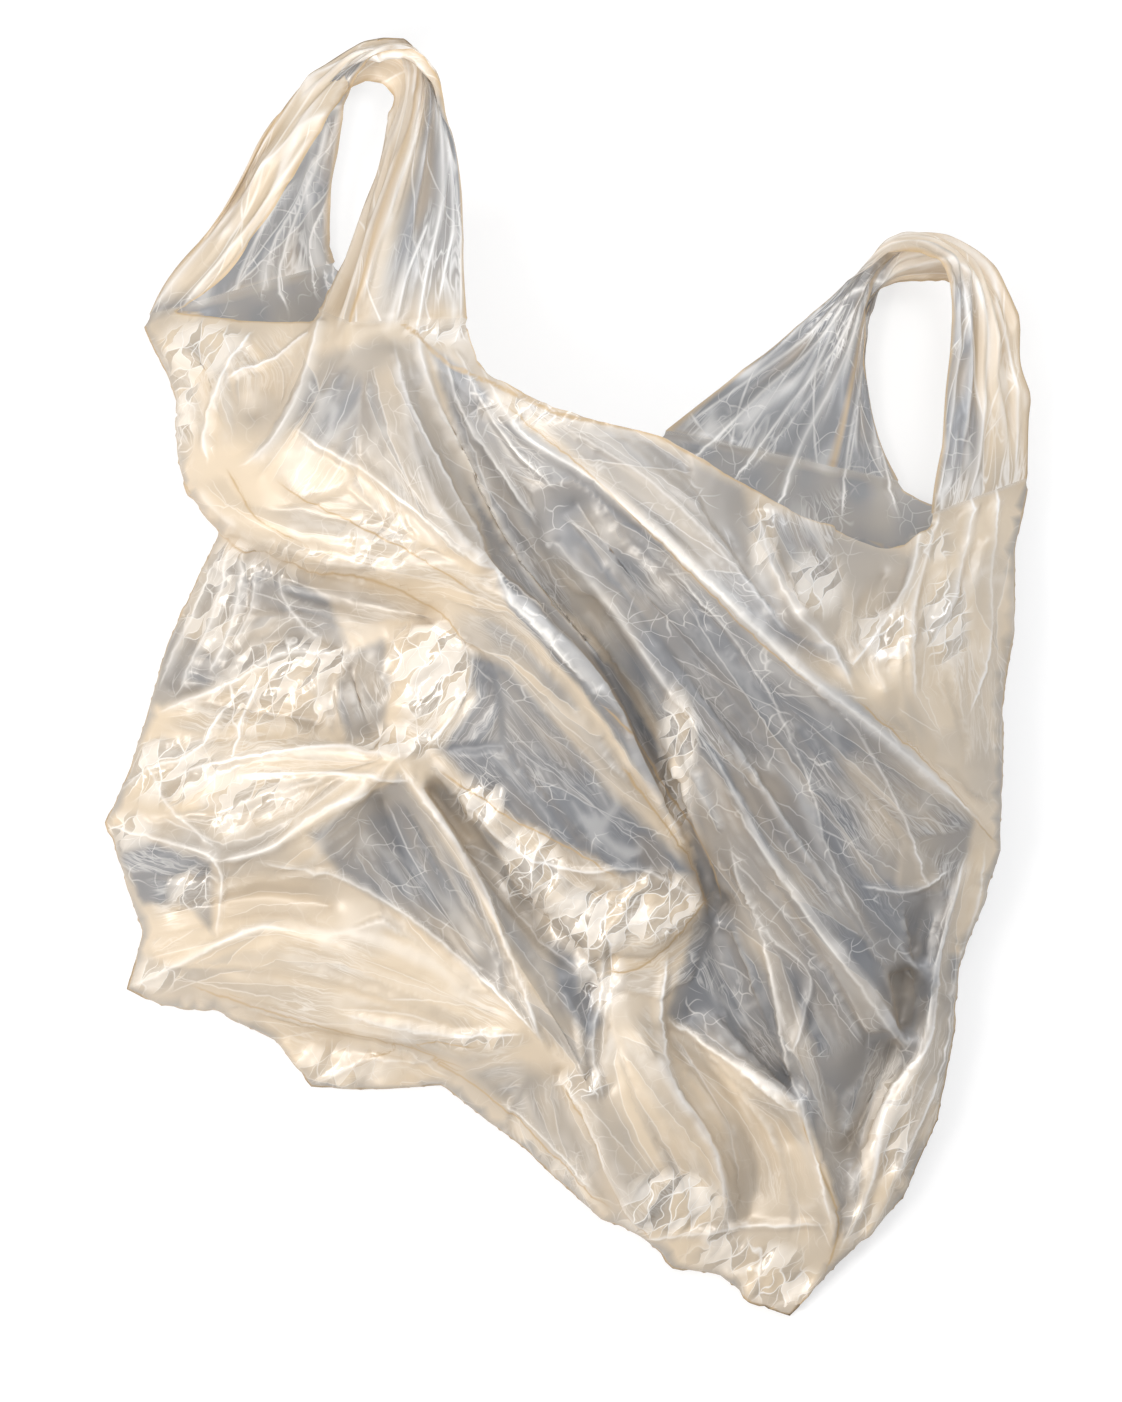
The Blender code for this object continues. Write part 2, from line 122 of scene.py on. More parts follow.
# A kind of noise: a cell's size in pixels and the seed. A cell of the first two kinds, and of
# those named long or fine, lies across and along the nearest fold; the others across and down
# the picture.
Grain = namedtuple("Grain", "wide tall seed")
FOLD_FACETS = Grain(46.0, 190.0, 50)
NARROW_FACETS = Grain(17, 80, 150)
LONG_CRESTS = Grain(24, 150, 250)
LONG_THREADS = Grain(11, 80, 650)
LONG_TONE = Grain(34, 190, 700)
FINE_TONE = Grain(10, 80, 550)
CRUSH_FACETS = Grain(21.0, 21.0, 350)
HALF_CRUSH_FACETS = Grain(10.5, 10.5, 450)
CALM_PATCHES = Grain(80, 80, 5)
PATCH_TONE = Grain(52, 52, 810)
BACK_TONE = Grain(26, 40, 910)

# Facets, in cells: how far their borders are bent and slanted, and in crushed spots how jagged.
CELL_BEND = 0.45
CELL_SLANT = 0.5
CRUSH_JAGGED = 0.22

# The length in pixels that the borders of the facets beside a fold are drawn for, as painted
# highlights.
FOLD_BORDER_LENGTH = 90.0

# How steeply winding crests rise. In a crushed spot's radii: where it starts to fade, and ends.
RIDGE_RISE = 2.4
CRUSH_BORDER = (0.55, 1.25)

# A handle's gathers: (how many across, how many along, seed, share of the pleat's depth), and
# how soon they reach their full depth from a foot.
WIDE_GATHERS = (6, 4, 31, 0.75)
FINE_GATHERS = (14, 9, 47, 0.35)
GATHER_ONSET = 1.7

# The gap that a side fold on a handle has more than a cut edge, so that its line is thinner.
SIDE_FOLD_GAP = 0.008

# How far film stands out: flat facets, narrow facets, crests and threads, in wrinkle heights,
# and a crushed spot's whole and half facets, in crumple heights.
FOLD_RISE = 2.0
NARROW_RISE = 0.7
CREST_RISE = 0.6
THREAD_RISE = 0.3
CRUSH_RISE = 1.2
HALF_CRUSH_RISE = 0.45

# The share of a crushed spot's facets on calm film, and of the wrinkles on the back panel.
CALM_CRUSH = 0.06
BACK_WRINKLE = 0.15

# Metres for each unit of a pleat's height, on the front panel and elsewhere.
PLEAT_RISE = 0.001
HANDLE_PLEAT_RISE = 0.0007

# How far a crest's point stands out of its neighbours' middle, in metres: where its painted
# highlight starts, and where it is full; a point sunk as deep gets painted shade.
STANDING = (0.0002, 0.0007)

# The film's grey before any zone, on the back panel, and on a handle where it meets the back;
# the back panel's grey is painted shade of the bag's inside, seen through the front and the mouth.
PLAIN_GREY = 0.12
BACK_GREY = 0.85
FOOT_GREY = 0.85

# Where a handle's back leg ends and its front leg begins, as shares of the whole loop, how far up
# its back foot and its front foot reach, and the two legs' greys, partly painted shade of their
# inner side.
BACK_LEG_END = (0.36, 0.46)
FRONT_LEG_START = (0.56, 0.66)
BACK_FOOT = (0.0, 0.08)
FRONT_FOOT = (0.86, 1.0)
BACK_LEG_GREY = 0.95
FRONT_LEG_GREY = 0.85

# Each facet's random value, from 0 to 1, which sets its painted light and shade: the middle one,
# and those below which a crushed facet gets painted shade and above which it gets a painted glint.
MEAN_TONE = 0.42
SHADED_FACET_TONE = 0.36
GLINT_FACET_TONE = 0.62

# How much greyer or paler each facet and wrinkle is painted: painted light and shade on fold
# facets, painted shade on dark crushed facets, painted highlights on wrinkles, on fold facets'
# borders and on glinting crushed facets.
FOLD_FACET_LIGHT_AND_SHADE = 0.28
SHADED_FACET_GREY = 0.36
WRINKLE_HIGHLIGHT = 0.42
FOLD_BORDER_HIGHLIGHT = 0.34
GLINT_FACET_PALE = 0.55

# The wrinkles that are drawn beside the folds as painted highlights: (name, width and length in
# pixels, sharpness).
WRINKLE_KINDS = [("Wrinkles", 13.0, 150.0, 26.0), ("Fine wrinkles", 6.0, 60.0, 16.0)]

# How far hair-fine wrinkles are bent, in metres, along each axis.
HAIR_BEND = (0.012, 0.012, 0.012)

# Where noise makes a patch, from none to full: of hair-fine wrinkles, and of the others.
HAIR_PATCHES = (0.49, 0.66)
STRONG_PATCHES = (0.46, 0.70)

# How strongly the painted highlights on hair-fine wrinkles show: for full grey, and for any film.
HAIR_HIGHLIGHT_ON_GREY = 0.4
HAIR_HIGHLIGHT_PLAIN = 0.05

# Strokes, painted highlights along pleats and painted shade along creases: how much stronger they
# are than the mesh's own, and their widths in pixels.
STROKE_GAIN = 2.2
PLEAT_WIDTH = 2.0
CREASE_WIDTH = 1.6

# The brown edge: how brown on the edge itself, falling by 1 for each width in pixels, and at most.
EDGE_START = 1.3
EDGE_WIDTH = 2.6
MOST_EDGE = 0.9

# The shares of light from behind in the film, and of the floor's own glow.
THROUGH_SHARE = 0.2
FLOOR_GLOW = 0.62

# In metres: half the floor's width, how far below the bag it lies, and what the lamps aim at.
FLOOR_HALF = 6.0
FLOOR_DROP = 0.0005
LAMP_AIM = (0.0, 0.0, 0.05)

# The share of the billow's height at which the camera's view is as wide as the picture.
FOCUS_SHARE = 0.1

# Square lamps: (name, the setting that holds its power, place and side in metres, colour).
LAMPS = [
    ("key", "key_power", (-1.0, -0.5, 0.9), 0.28, (1.0, 0.94, 0.86)),
    ("fill", "fill_power", (-0.2, 0.3, 1.7), 1.4, (1.0, 0.99, 0.97)),
    ("rim", "rim_power", (0.9, 0.9, 0.9), 0.3, (0.93, 0.96, 1.0)),
    ("glint", "glint_power", (-0.45, -0.2, 1.3), 0.32, (1.0, 0.97, 0.93)),
    ("second glint", "glint_power", (0.35, 0.5, 1.3), 0.32, (1.0, 1.0, 1.0)),
]

# What a point of the film carries beside its place: x, y, z, then these.
PLACE = slice(0, 3)
HEIGHT = 2
ACROSS_STRIP = 3
ALONG_STRIP = 4
STRIP = 5
BACK = 6
RIGHT_STRIP = 7
CARRIED = 8

BOTTOM_SEAL = [
    (125, 990, 6), (160, 1008, 5), (212, 1012, 6), (275, 1045, 5), (310, 1088, 3),
    (360, 1092, 3), (440, 1088, 4), (520, 1150, 4), (600, 1222, 4), (640, 1240, 4),
    (672, 1270, 3), (720, 1280, 3), (750, 1305, 3), (790, 1318, 3),
]
LEFT_SIDE = [
    (125, 990, 6), (140, 935, 12), (105, 822, 20), (128, 770, 21), (146, 712, 20),
    (165, 645, 20), (195, 580, 22), (219, 533, 26), (190, 500, 34), (178, 465, 38),
    (177, 402, 38), (145, 330, 30),
]
RIGHT_SIDE = [
    (790, 1318, 3), (826, 1282, 6), (905, 1200, 10), (940, 1120, 14), (957, 1030, 17),
    (962, 965, 18), (985, 905, 20), (1002, 850, 22), (1003, 790, 22), (1006, 690, 22),
    (1016, 630, 20), (1016, 555, 18), (1028, 490, 16),
]

# The mouth's front half, left to right: the gusset's edge, the front rim and the handles' feet.
LEFT_GUSSET_FOOT = [(145, 330, 30), (178, 314, 32)]
LEFT_GUSSET_RIM = [(178, 314, 32), (240, 322, 38), (316, 325, 50)]
FRONT_LEFT_FOOT_GUSSET = [(316, 325, 50), (348, 342, 70)]
FRONT_LEFT_FOOT_PANEL = [(348, 342, 70), (470, 335, 62)]
FRONT_RIM = [
    (470, 335, 62), (482, 370, 64), (520, 395, 68), (600, 425, 72), (655, 438, 70),
    (740, 485, 64), (830, 530, 52), (895, 547, 42), (927, 528, 36),
]
FRONT_RIGHT_FOOT_PANEL = [(927, 528, 36), (1028, 490, 16)]

# The mouth's back half, right to left.
FRONT_RIGHT_FOOT_GUSSET = [(1028, 490, 16), (958, 505, 8)]
RIGHT_GUSSET_RIM = [(958, 505, 8), (930, 502, 6), (905, 490, 4)]
BACK_RIGHT_FOOT_GUSSET = [(905, 490, 4), (830, 478, 3)]
BACK_RIGHT_FOOT_PANEL = [(830, 478, 3), (655, 437, 2)]
BACK_RIM = [(655, 437, 2), (560, 420, 2), (450, 370, 2), (342, 272, 3)]
BACK_LEFT_FOOT_PANEL = [(342, 272, 3), (145, 330, 30)]

# Each handle's three lines, from the back panel's foot over the loop's top to the front foot.
LEFT_HANDLE_MOUTH_EDGE = [
    (342, 272, 3), (333, 250, 5), (332, 215, 7), (336, 150, 10), (343, 108, 14), (356, 76, 20),
    (385, 52, 26), (416, 52, 27), (437, 80, 28), (449, 120, 31), (461, 180, 38), (465, 260, 50),
    (470, 335, 62),
]
LEFT_HANDLE_FOLD = [
    (145, 330, 30), (165, 290, 28), (205, 237, 26), (236, 182, 24), (267, 128, 21), (300, 92, 17),
    (335, 60, 13), (376, 38, 10), (412, 40, 13), (422, 78, 22), (412, 130, 34), (392, 200, 50),
    (370, 270, 64), (348, 342, 70),
]
LEFT_HANDLE_GUSSET_EDGE = [
    (178, 314, 32), (222, 284, 32), (276, 216, 31), (310, 154, 29), (332, 112, 26), (350, 88, 20),
    (374, 80, 15), (391, 92, 15), (396, 114, 18), (388, 142, 22), (368, 200, 30), (345, 265, 38),
    (316, 325, 50),
]
RIGHT_HANDLE_MOUTH_EDGE = [
    (655, 437, 2), (700, 402, 5), (770, 350, 10), (830, 302, 16), (858, 276, 22), (892, 250, 28),
    (925, 250, 31), (948, 268, 31), (952, 300, 33), (950, 340, 34), (940, 410, 36), (933, 470, 37),
    (927, 528, 36),
]
RIGHT_HANDLE_FOLD = [
    (830, 478, 3), (845, 420, 6), (857, 360, 9), (866, 310, 12), (880, 268, 12), (906, 238, 12),
    (940, 238, 12), (976, 256, 14), (1002, 288, 17), (1015, 320, 18), (1021, 372, 18),
    (1028, 430, 17), (1028, 490, 16),
]
RIGHT_HANDLE_GUSSET_EDGE = [
    (905, 490, 4), (880, 440, 6), (868, 385, 8), (865, 340, 11), (869, 304, 14), (890, 290, 16),
    (919, 285, 16), (945, 280, 12), (965, 290, 9), (972, 318, 8), (968, 380, 8), (962, 450, 8),
    (958, 505, 8),
]

# The front panel's crests, which catch the light.
CRESTS = {
    "shoulder": [
        (200, 488, 46), (232, 522, 54), (300, 556, 62), (386, 574, 70), (450, 580, 74),
        (515, 600, 76), (587, 667, 71), (622, 712, 65), (640, 761, 57), (660, 798, 49),
        (684, 840, 41),
    ],
    "flap crease": [
        (440, 622, 62), (510, 659, 62), (561, 723, 56), (587, 753, 53), (628, 798, 48),
        (662, 833, 43), (684, 868, 39), (703, 903, 36),
    ],
    "flap lip": [
        (430, 752, 48), (470, 795, 46), (515, 850, 43), (560, 905, 40), (600, 938, 38),
        (650, 940, 37), (703, 903, 36),
    ],
    "left blob": [
        (262, 668, 38), (300, 645, 43), (345, 655, 44), (335, 700, 40), (345, 735, 42),
    ],
    "right blob": [
        (392, 640, 46), (430, 628, 58), (476, 655, 60), (470, 690, 53), (430, 745, 50),
        (388, 728, 46),
    ],
    "side": [
        (128, 822, 26), (175, 842, 34), (223, 860, 40), (265, 850, 44), (311, 826, 48),
        (360, 790, 51), (400, 756, 53),
    ],
    "upper side": [
        (150, 800, 28), (205, 765, 36), (262, 745, 41), (320, 748, 45), (400, 756, 53),
    ],
    "radiating": [
        (410, 765, 52), (450, 830, 47), (483, 896, 43), (518, 960, 39), (562, 1030, 35),
        (585, 1078, 31),
    ],
    "hem": [
        (150, 958, 19), (190, 948, 26), (229, 938, 31), (279, 932, 34), (340, 948, 35),
        (430, 984, 34), (520, 1030, 33),
    ],
    "hem fold": [
        (168, 978, 17), (210, 988, 20), (250, 1000, 22), (315, 1017, 23), (401, 1034, 24),
        (465, 1058, 24), (526, 1046, 29),
    ],
    "tongue left": [
        (590, 985, 27), (600, 1020, 30), (590, 1060, 30), (596, 1110, 27), (612, 1158, 23),
        (632, 1202, 17), (652, 1226, 11),
    ],
    "tongue right": [
        (625, 1015, 30), (650, 1045, 31), (676, 1091, 30), (700, 1129, 27), (717, 1160, 23),
        (728, 1195, 17), (722, 1238, 9),
    ],
    "warm panel": [
        (690, 1012, 21), (737, 1062, 25), (793, 1106, 27), (812, 1140, 23), (826, 1182, 18),
        (834, 1222, 13), (830, 1260, 8),
    ],
    "crumpled strip": [
        (590, 610, 58), (649, 691, 58), (684, 765, 51), (702, 830, 42), (737, 898, 36),
        (766, 959, 35), (784, 1026, 33), (806, 1088, 29), (820, 1149, 23), (838, 1205, 15),
    ],
    "light": [
        (560, 545, 66), (620, 620, 65), (665, 688, 65), (721, 771, 62), (767, 852, 56),
        (820, 921, 48), (878, 1000, 36), (905, 1042, 26),
    ],
    "long": [
        (478, 385, 67), (519, 437, 71), (589, 480, 74), (648, 530, 76), (701, 579, 76),
        (755, 629, 75), (800, 672, 73), (860, 718, 66), (925, 775, 52), (975, 826, 33),
    ],
    "band": [(925, 560, 42), (905, 625, 58), (908, 690, 60), (935, 745, 52)],
    "outer band": [(985, 540, 32), (972, 610, 38), (978, 690, 36), (982, 770, 30)],
    "side strip": [
        (968, 850, 29), (955, 895, 31), (941, 934, 30), (930, 991, 28), (919, 1059, 24),
        (897, 1100, 21), (876, 1149, 17), (856, 1199, 13), (836, 1249, 8),
    ],
    "gusset": [(178, 345, 38), (205, 368, 48), (218, 410, 54), (232, 448, 56)],
    "left band": [(345, 362, 70), (322, 405, 71), (290, 450, 68), (262, 480, 62)],
    "middle band": [(396, 362, 72), (410, 430, 77), (440, 510, 79), (480, 560, 79)],
}

# The front panel's hollows, under and between the crests.
HOLLOWS = {
    "shoulder": [(240, 556, 35), (300, 584, 39), (380, 604, 45), (440, 622, 50)],
    "flap": [
        (424, 782, 40), (455, 822, 37), (500, 880, 34), (545, 940, 31), (585, 972, 30),
        (655, 968, 30), (700, 935, 28), (728, 900, 26),
    ],
    "pit": [(352, 668, 39), (362, 700, 38), (372, 725, 41)],
    "side": [(170, 690, 26), (215, 705, 29), (262, 712, 32), (318, 722, 36)],
    "radiating": [(385, 800, 42), (405, 850, 37), (440, 910, 34), (480, 970, 33)],
    "hem": [(150, 915, 19), (205, 905, 24), (262, 895, 29), (330, 905, 32)],
    "hem step": [
        (242, 1018, 9), (300, 1038, 8), (360, 1050, 8), (410, 1056, 9), (455, 1082, 8),
    ],
    "tongue left": [(560, 1070, 22), (572, 1118, 17), (590, 1165, 13), (614, 1212, 8)],
    "tongue right": [
        (668, 1030, 21), (700, 1078, 20), (728, 1120, 18), (745, 1165, 14), (750, 1215, 9),
    ],
    "valley": [
        (440, 407, 67), (468, 466, 63), (500, 530, 60), (545, 600, 57), (606, 672, 52),
        (642, 745, 46), (674, 808, 39), (704, 868, 33), (716, 950, 24), (742, 1012, 20),
        (790, 1075, 17),
    ],
    "strip": [(720, 850, 44), (775, 915, 40), (812, 975, 34), (840, 1060, 26)],
    "grey": [
        (575, 505, 67), (650, 600, 63), (735, 705, 59), (815, 812, 51), (875, 905, 41),
        (925, 985, 26),
    ],
    "rim tuck": [(752, 512, 60), (772, 560, 70), (800, 612, 80)],
    "band": [(880, 580, 48), (868, 635, 62), (880, 690, 66)],
    "side strip": [
        (925, 900, 30), (908, 975, 20), (895, 1045, 15), (872, 1095, 13), (848, 1150, 11),
    ],
    "gusset": [(240, 345, 44), (262, 380, 49), (258, 420, 54)],
}

FOLDS = list(CRESTS.values()) + list(HOLLOWS.values())

# The back panel touches the floor inside this line.
RESTING_LINE = [
    (205, 900), (190, 760), (230, 630), (265, 520), (262, 420), (330, 372), (450, 450),
    (560, 480), (700, 530), (850, 580), (930, 650), (930, 800), (905, 950), (850, 1100),
    (780, 1215), (700, 1190), (600, 1110), (500, 1060), (380, 1010), (260, 960),
]

# The back panel's film that shows through the mouth, between the front rim and the handles.
MOUTH_LOOPS = [
    [(655, 437), (700, 445), (830, 476), (905, 488), (928, 528), (885, 546), (740, 486)],
    [(178, 314), (240, 321), (316, 323), (342, 275), (300, 287), (200, 316)],
]

# How grey the film looks, from cream at 0 to grey at 1, each zone laid over those before it.
# Grey is single film with painted shade, where folds shade it or the shaded inside shows
# through; cream is film that lies double or faces the light. Each zone is (grey, softness of
# the zone's border in pixels, loop).
GREY_AND_SHADE_ZONES = [
    (0.55, 8, [(520, 402), (600, 430), (655, 445), (740, 490), (760, 560), (802, 622), (841, 672),
               (759, 637), (697, 579), (642, 521), (572, 458)]),
    (0.50, 10, [(755, 505), (830, 535), (895, 552), (915, 560), (903, 595), (868, 640),
                (841, 672), (802, 622), (763, 563)]),
    (0.55, 9, [(318, 362), (300, 432), (368, 475), (429, 521), (483, 565), (500, 585), (480, 500),
               (437, 418), (424, 350), (380, 345)]),
    (0.80, 5, [(430, 350), (478, 385), (500, 414), (572, 463), (642, 526), (697, 584), (759, 642),
               (814, 681), (852, 702), (922, 760), (972, 818), (966, 849), (941, 945), (922, 1049),
               (896, 1093), (867, 1185), (842, 1240), (832, 1180), (800, 1105), (667, 1014),
               (690, 935), (705, 902), (693, 840), (676, 750), (642, 690), (600, 640), (533, 583),
               (500, 520), (460, 440)]),
    (1.0, 34, [(600, 545), (680, 590), (760, 660), (830, 740), (850, 860), (800, 850), (720, 750),
               (640, 655)]),
    (0.35, 22, [(536, 560), (580, 570), (610, 600), (600, 622), (560, 600)]),
    (0.55, 26, [(850, 740), (940, 810), (935, 900), (900, 905), (850, 850)]),
    (0.95, 7, [(855, 880), (955, 890), (935, 980), (905, 960), (870, 915)]),
    (1.0, 8, [(705, 905), (742, 925), (775, 1000), (792, 1085), (740, 1058), (680, 1012),
               (690, 945)]),
    (1.0, 4, [(470, 490), (500, 535), (540, 598), (610, 668), (662, 752), (704, 818), (722, 880),
              (705, 900), (690, 836), (640, 772), (602, 718), (548, 648), (500, 590)]),
    (1.0, 9, [(474, 655), (514, 664), (564, 730), (611, 791), (660, 836), (690, 872), (620, 872),
               (561, 838), (521, 818), (470, 775), (438, 748), (476, 700)]),
    (0.35, 8, [(470, 590), (520, 632), (580, 700), (640, 780), (684, 842), (640, 800), (560, 720),
               (500, 655)]),
    (0.75, 5, [(345, 655), (386, 640), (392, 690), (385, 725), (350, 744), (338, 705)]),
    (0.62, 6, [(224, 545), (290, 575), (330, 600), (350, 648), (294, 647), (235, 678), (165, 706),
               (150, 702), (170, 640)]),
    (0.80, 7, [(312, 832), (374, 792), (401, 772), (420, 800), (454, 852), (478, 895), (506, 955),
               (543, 1034), (490, 983), (403, 911), (344, 874)]),
    (0.60, 7, [(430, 782), (456, 790), (518, 858), (568, 922), (590, 950), (596, 990), (588, 1072),
               (545, 1040), (478, 870), (454, 838)]),
    (1.0, 8, [(548, 935), (592, 965), (600, 1020), (588, 1035), (565, 1005)]),
    (0.75, 5, [(112, 822), (141, 837), (212, 862), (215, 935), (190, 902), (143, 903),
               (122, 861)]),
    (0.22, 12, [(600, 1040), (650, 1045), (690, 1110), (712, 1165), (718, 1215), (668, 1180),
                (612, 1130)]),
    (0.45, 12, [(470, 1075), (560, 1150), (620, 1215), (600, 1160), (560, 1085), (520, 1060)]),
    (0.12, 20, [(700, 1050), (790, 1115), (815, 1180), (800, 1240), (740, 1200)]),
    (0.30, 8, [(868, 1130), (900, 1105), (890, 1150), (855, 1215)]),
    (0.70, 22, [(800, 1000), (880, 1010), (900, 1060), (880, 1120), (845, 1150), (800, 1090)]),
]

# Where the film is crushed into small bright facets: (across, down, radius, radius, strength).
CRUSHED_SPOTS = [
    (205, 352, 46, 30, 0.9), (182, 410, 18, 60, 0.8), (300, 662, 62, 24, 1.0),
    (250, 700, 40, 40, 0.8), (432, 672, 44, 52, 1.3), (400, 740, 50, 18, 1.0),
    (300, 700, 40, 36, 0.7), (480, 800, 28, 26, 0.9), (530, 868, 34, 40, 1.2),
    (590, 920, 52, 34, 1.3), (655, 905, 46, 36, 1.2), (600, 975, 26, 40, 0.9),
    (672, 1203, 50, 34, 1.2), (720, 1235, 20, 18, 0.8), (785, 1292, 48, 26, 0.9),
    (582, 1082, 30, 18, 0.8), (560, 415, 90, 16, 0.8), (760, 540, 16, 44, 0.8),
    (812, 585, 30, 34, 0.8), (676, 762, 20, 76, 1.2), (885, 635, 34, 28, 0.9),
    (945, 620, 26, 50, 0.9), (895, 1130, 24, 60, 0.8), (170, 770, 60, 34, 0.9),
    (130, 830, 30, 20, 0.7), (195, 888, 26, 22, 0.8), (230, 800, 30, 40, 0.7),
    (150, 975, 36, 18, 0.7), (340, 1068, 60, 26, 0.6), (440, 332, 34, 18, 0.9),
    (930, 545, 24, 18, 0.7), (540, 1180, 60, 30, 0.5), (480, 1038, 46, 10, 0.7),
    (285, 565, 60, 22, 0.5), (380, 545, 40, 34, 0.6), (990, 1000, 20, 60, 0.4),
    (212, 612, 40, 52, 0.7), (745, 1258, 60, 20, 0.7), (640, 1222, 34, 20, 0.6),
    (862, 1222, 20, 36, 0.6), (240, 560, 30, 20, 0.8), (265, 790, 44, 26, 0.6),
]

# Thin raised pleats, with a painted highlight along each: (height in millimetres, half width in
# pixels, strength of the painted highlight, line).
PLEATS = [
    (2.0, 12, 1.0, [(474, 352), (496, 400), (522, 436), (589, 480), (648, 530), (701, 579),
                    (755, 629), (800, 672), (860, 718), (925, 775), (988, 832)]),
    (2.6, 9, 1.0, [(418, 300), (420, 354), (436, 407), (468, 466), (495, 514), (525, 568),
                   (567, 630), (610, 672)]),
    (2.0, 7, 0.8, [(396, 345), (406, 400), (434, 461), (466, 522), (500, 587), (551, 636),
                   (606, 700)]),
    (2.6, 11, 1.0, [(328, 312), (316, 364), (293, 424), (268, 456), (243, 470)]),
    (2.2, 7, 1.0, [(256, 336), (228, 376), (210, 426), (212, 466)]),
    (1.6, 5, 0.8, [(230, 382), (284, 358), (316, 334)]),
    (1.8, 8, 0.6, [(296, 430), (330, 452), (368, 475), (429, 521), (492, 574), (560, 628)]),
    (1.4, 5, 0.6, [(456, 352), (483, 406), (521, 460), (560, 495)]),
    (1.4, 5, 0.6, [(444, 352), (462, 412), (500, 470), (540, 530)]),
    (2.2, 12, 0.9, [(752, 512), (764, 560), (790, 606), (828, 655), (852, 696)]),
    (2.2, 8, 0.9, [(918, 505), (903, 590), (868, 640), (840, 674)]),
    (2.4, 10, 0.9, [(972, 420), (963, 545), (946, 600), (926, 655)]),
    (1.8, 7, 0.7, [(1000, 430), (990, 563), (990, 641), (961, 719)]),
    (1.6, 6, 0.7, [(938, 510), (922, 560), (905, 640), (910, 700)]),
    (1.8, 9, 1.0, [(235, 540), (228, 576), (210, 635), (181, 693)]),
    (1.6, 8, 0.9, [(226, 548), (204, 594), (180, 648), (160, 690)]),
    (1.6, 8, 1.0, [(246, 548), (243, 590), (232, 634), (214, 672)]),
    (1.6, 6, 0.8, [(256, 560), (256, 600), (236, 650)]),
    (1.4, 6, 0.7, [(279, 573), (294, 613), (323, 640)]),
    (2.2, 9, 1.0, [(159, 714), (200, 697), (235, 682), (294, 652), (344, 655)]),
    (1.8, 7, 0.9, [(266, 672), (248, 714), (235, 760)]),
    (1.8, 6, 0.9, [(174, 773), (243, 758), (344, 747), (399, 758)]),
    (1.6, 5, 0.8, [(243, 774), (323, 773), (381, 776), (420, 782)]),
    (2.0, 9, 1.0, [(221, 860), (272, 847), (308, 820), (374, 786)]),
    (1.6, 5, 0.9, [(399, 760), (454, 838), (477, 875), (512, 960), (543, 1042)]),
    (1.4, 5, 0.7, [(254, 860), (344, 876), (403, 911), (490, 983), (546, 1040)]),
    (1.4, 5, 0.7, [(108, 824), (160, 838), (217, 860), (219, 940)]),
    (2.0, 7, 1.0, [(126, 987), (181, 962), (240, 934), (264, 926), (297, 930)]),
    (1.6, 6, 0.9, [(337, 1009), (417, 1026), (470, 1032), (523, 1032)]),
    (1.4, 5, 0.6, [(110, 800), (150, 770), (200, 745), (235, 700)]),
    (1.4, 5, 0.7, [(145, 740), (160, 790), (220, 850)]),
    (1.4, 5, 0.7, [(456, 785), (518, 848), (568, 868), (642, 868), (702, 902)]),
    (1.8, 6, 0.9, [(604, 945), (600, 997), (592, 1040), (604, 1100)]),
    (1.8, 7, 0.8, [(667, 952), (659, 1012), (674, 1086), (704, 1130), (719, 1167), (726, 1222)]),
    (1.4, 5, 0.7, [(563, 1074), (593, 1123), (622, 1197), (652, 1237)]),
    (1.6, 5, 0.8, [(667, 1017), (737, 1064), (796, 1111)]),
    (1.6, 6, 0.8, [(726, 834), (763, 938), (785, 1049), (800, 1100), (822, 1180), (834, 1240)]),
    (1.6, 7, 0.7, [(745, 880), (774, 938), (807, 967), (800, 1019), (790, 1056)]),
    (1.4, 6, 0.8, [(726, 797), (800, 901), (852, 971), (907, 1052)]),
    (1.2, 5, 0.4, [(660, 560), (740, 650), (800, 760), (830, 860), (880, 960)]),
    (1.2, 5, 0.4, [(780, 650), (860, 740), (905, 830), (930, 900)]),
    (1.0, 5, 0.4, [(560, 430), (640, 480), (720, 560), (790, 640)]),
    (1.8, 7, 0.9, [(966, 849), (941, 945), (922, 1049), (896, 1093), (867, 1185), (837, 1256)]),
    (1.4, 6, 0.7, [(985, 840), (975, 905), (955, 980), (948, 1040), (920, 1120), (880, 1200)]),
    (1.4, 6, 0.6, [(860, 885), (900, 890), (950, 870)]),
    (1.6, 6, 0.6, [(640, 1240), (700, 1232), (760, 1225), (830, 1225)]),
    (1.4, 6, 0.6, [(310, 1088), (360, 1060), (430, 1058)]),
    (1.2, 5, 0.5, [(500, 1100), (540, 1130), (600, 1190)]),
    (1.4, 5, 0.8, [(476, 651), (473, 680), (455, 715), (430, 745)]),
]

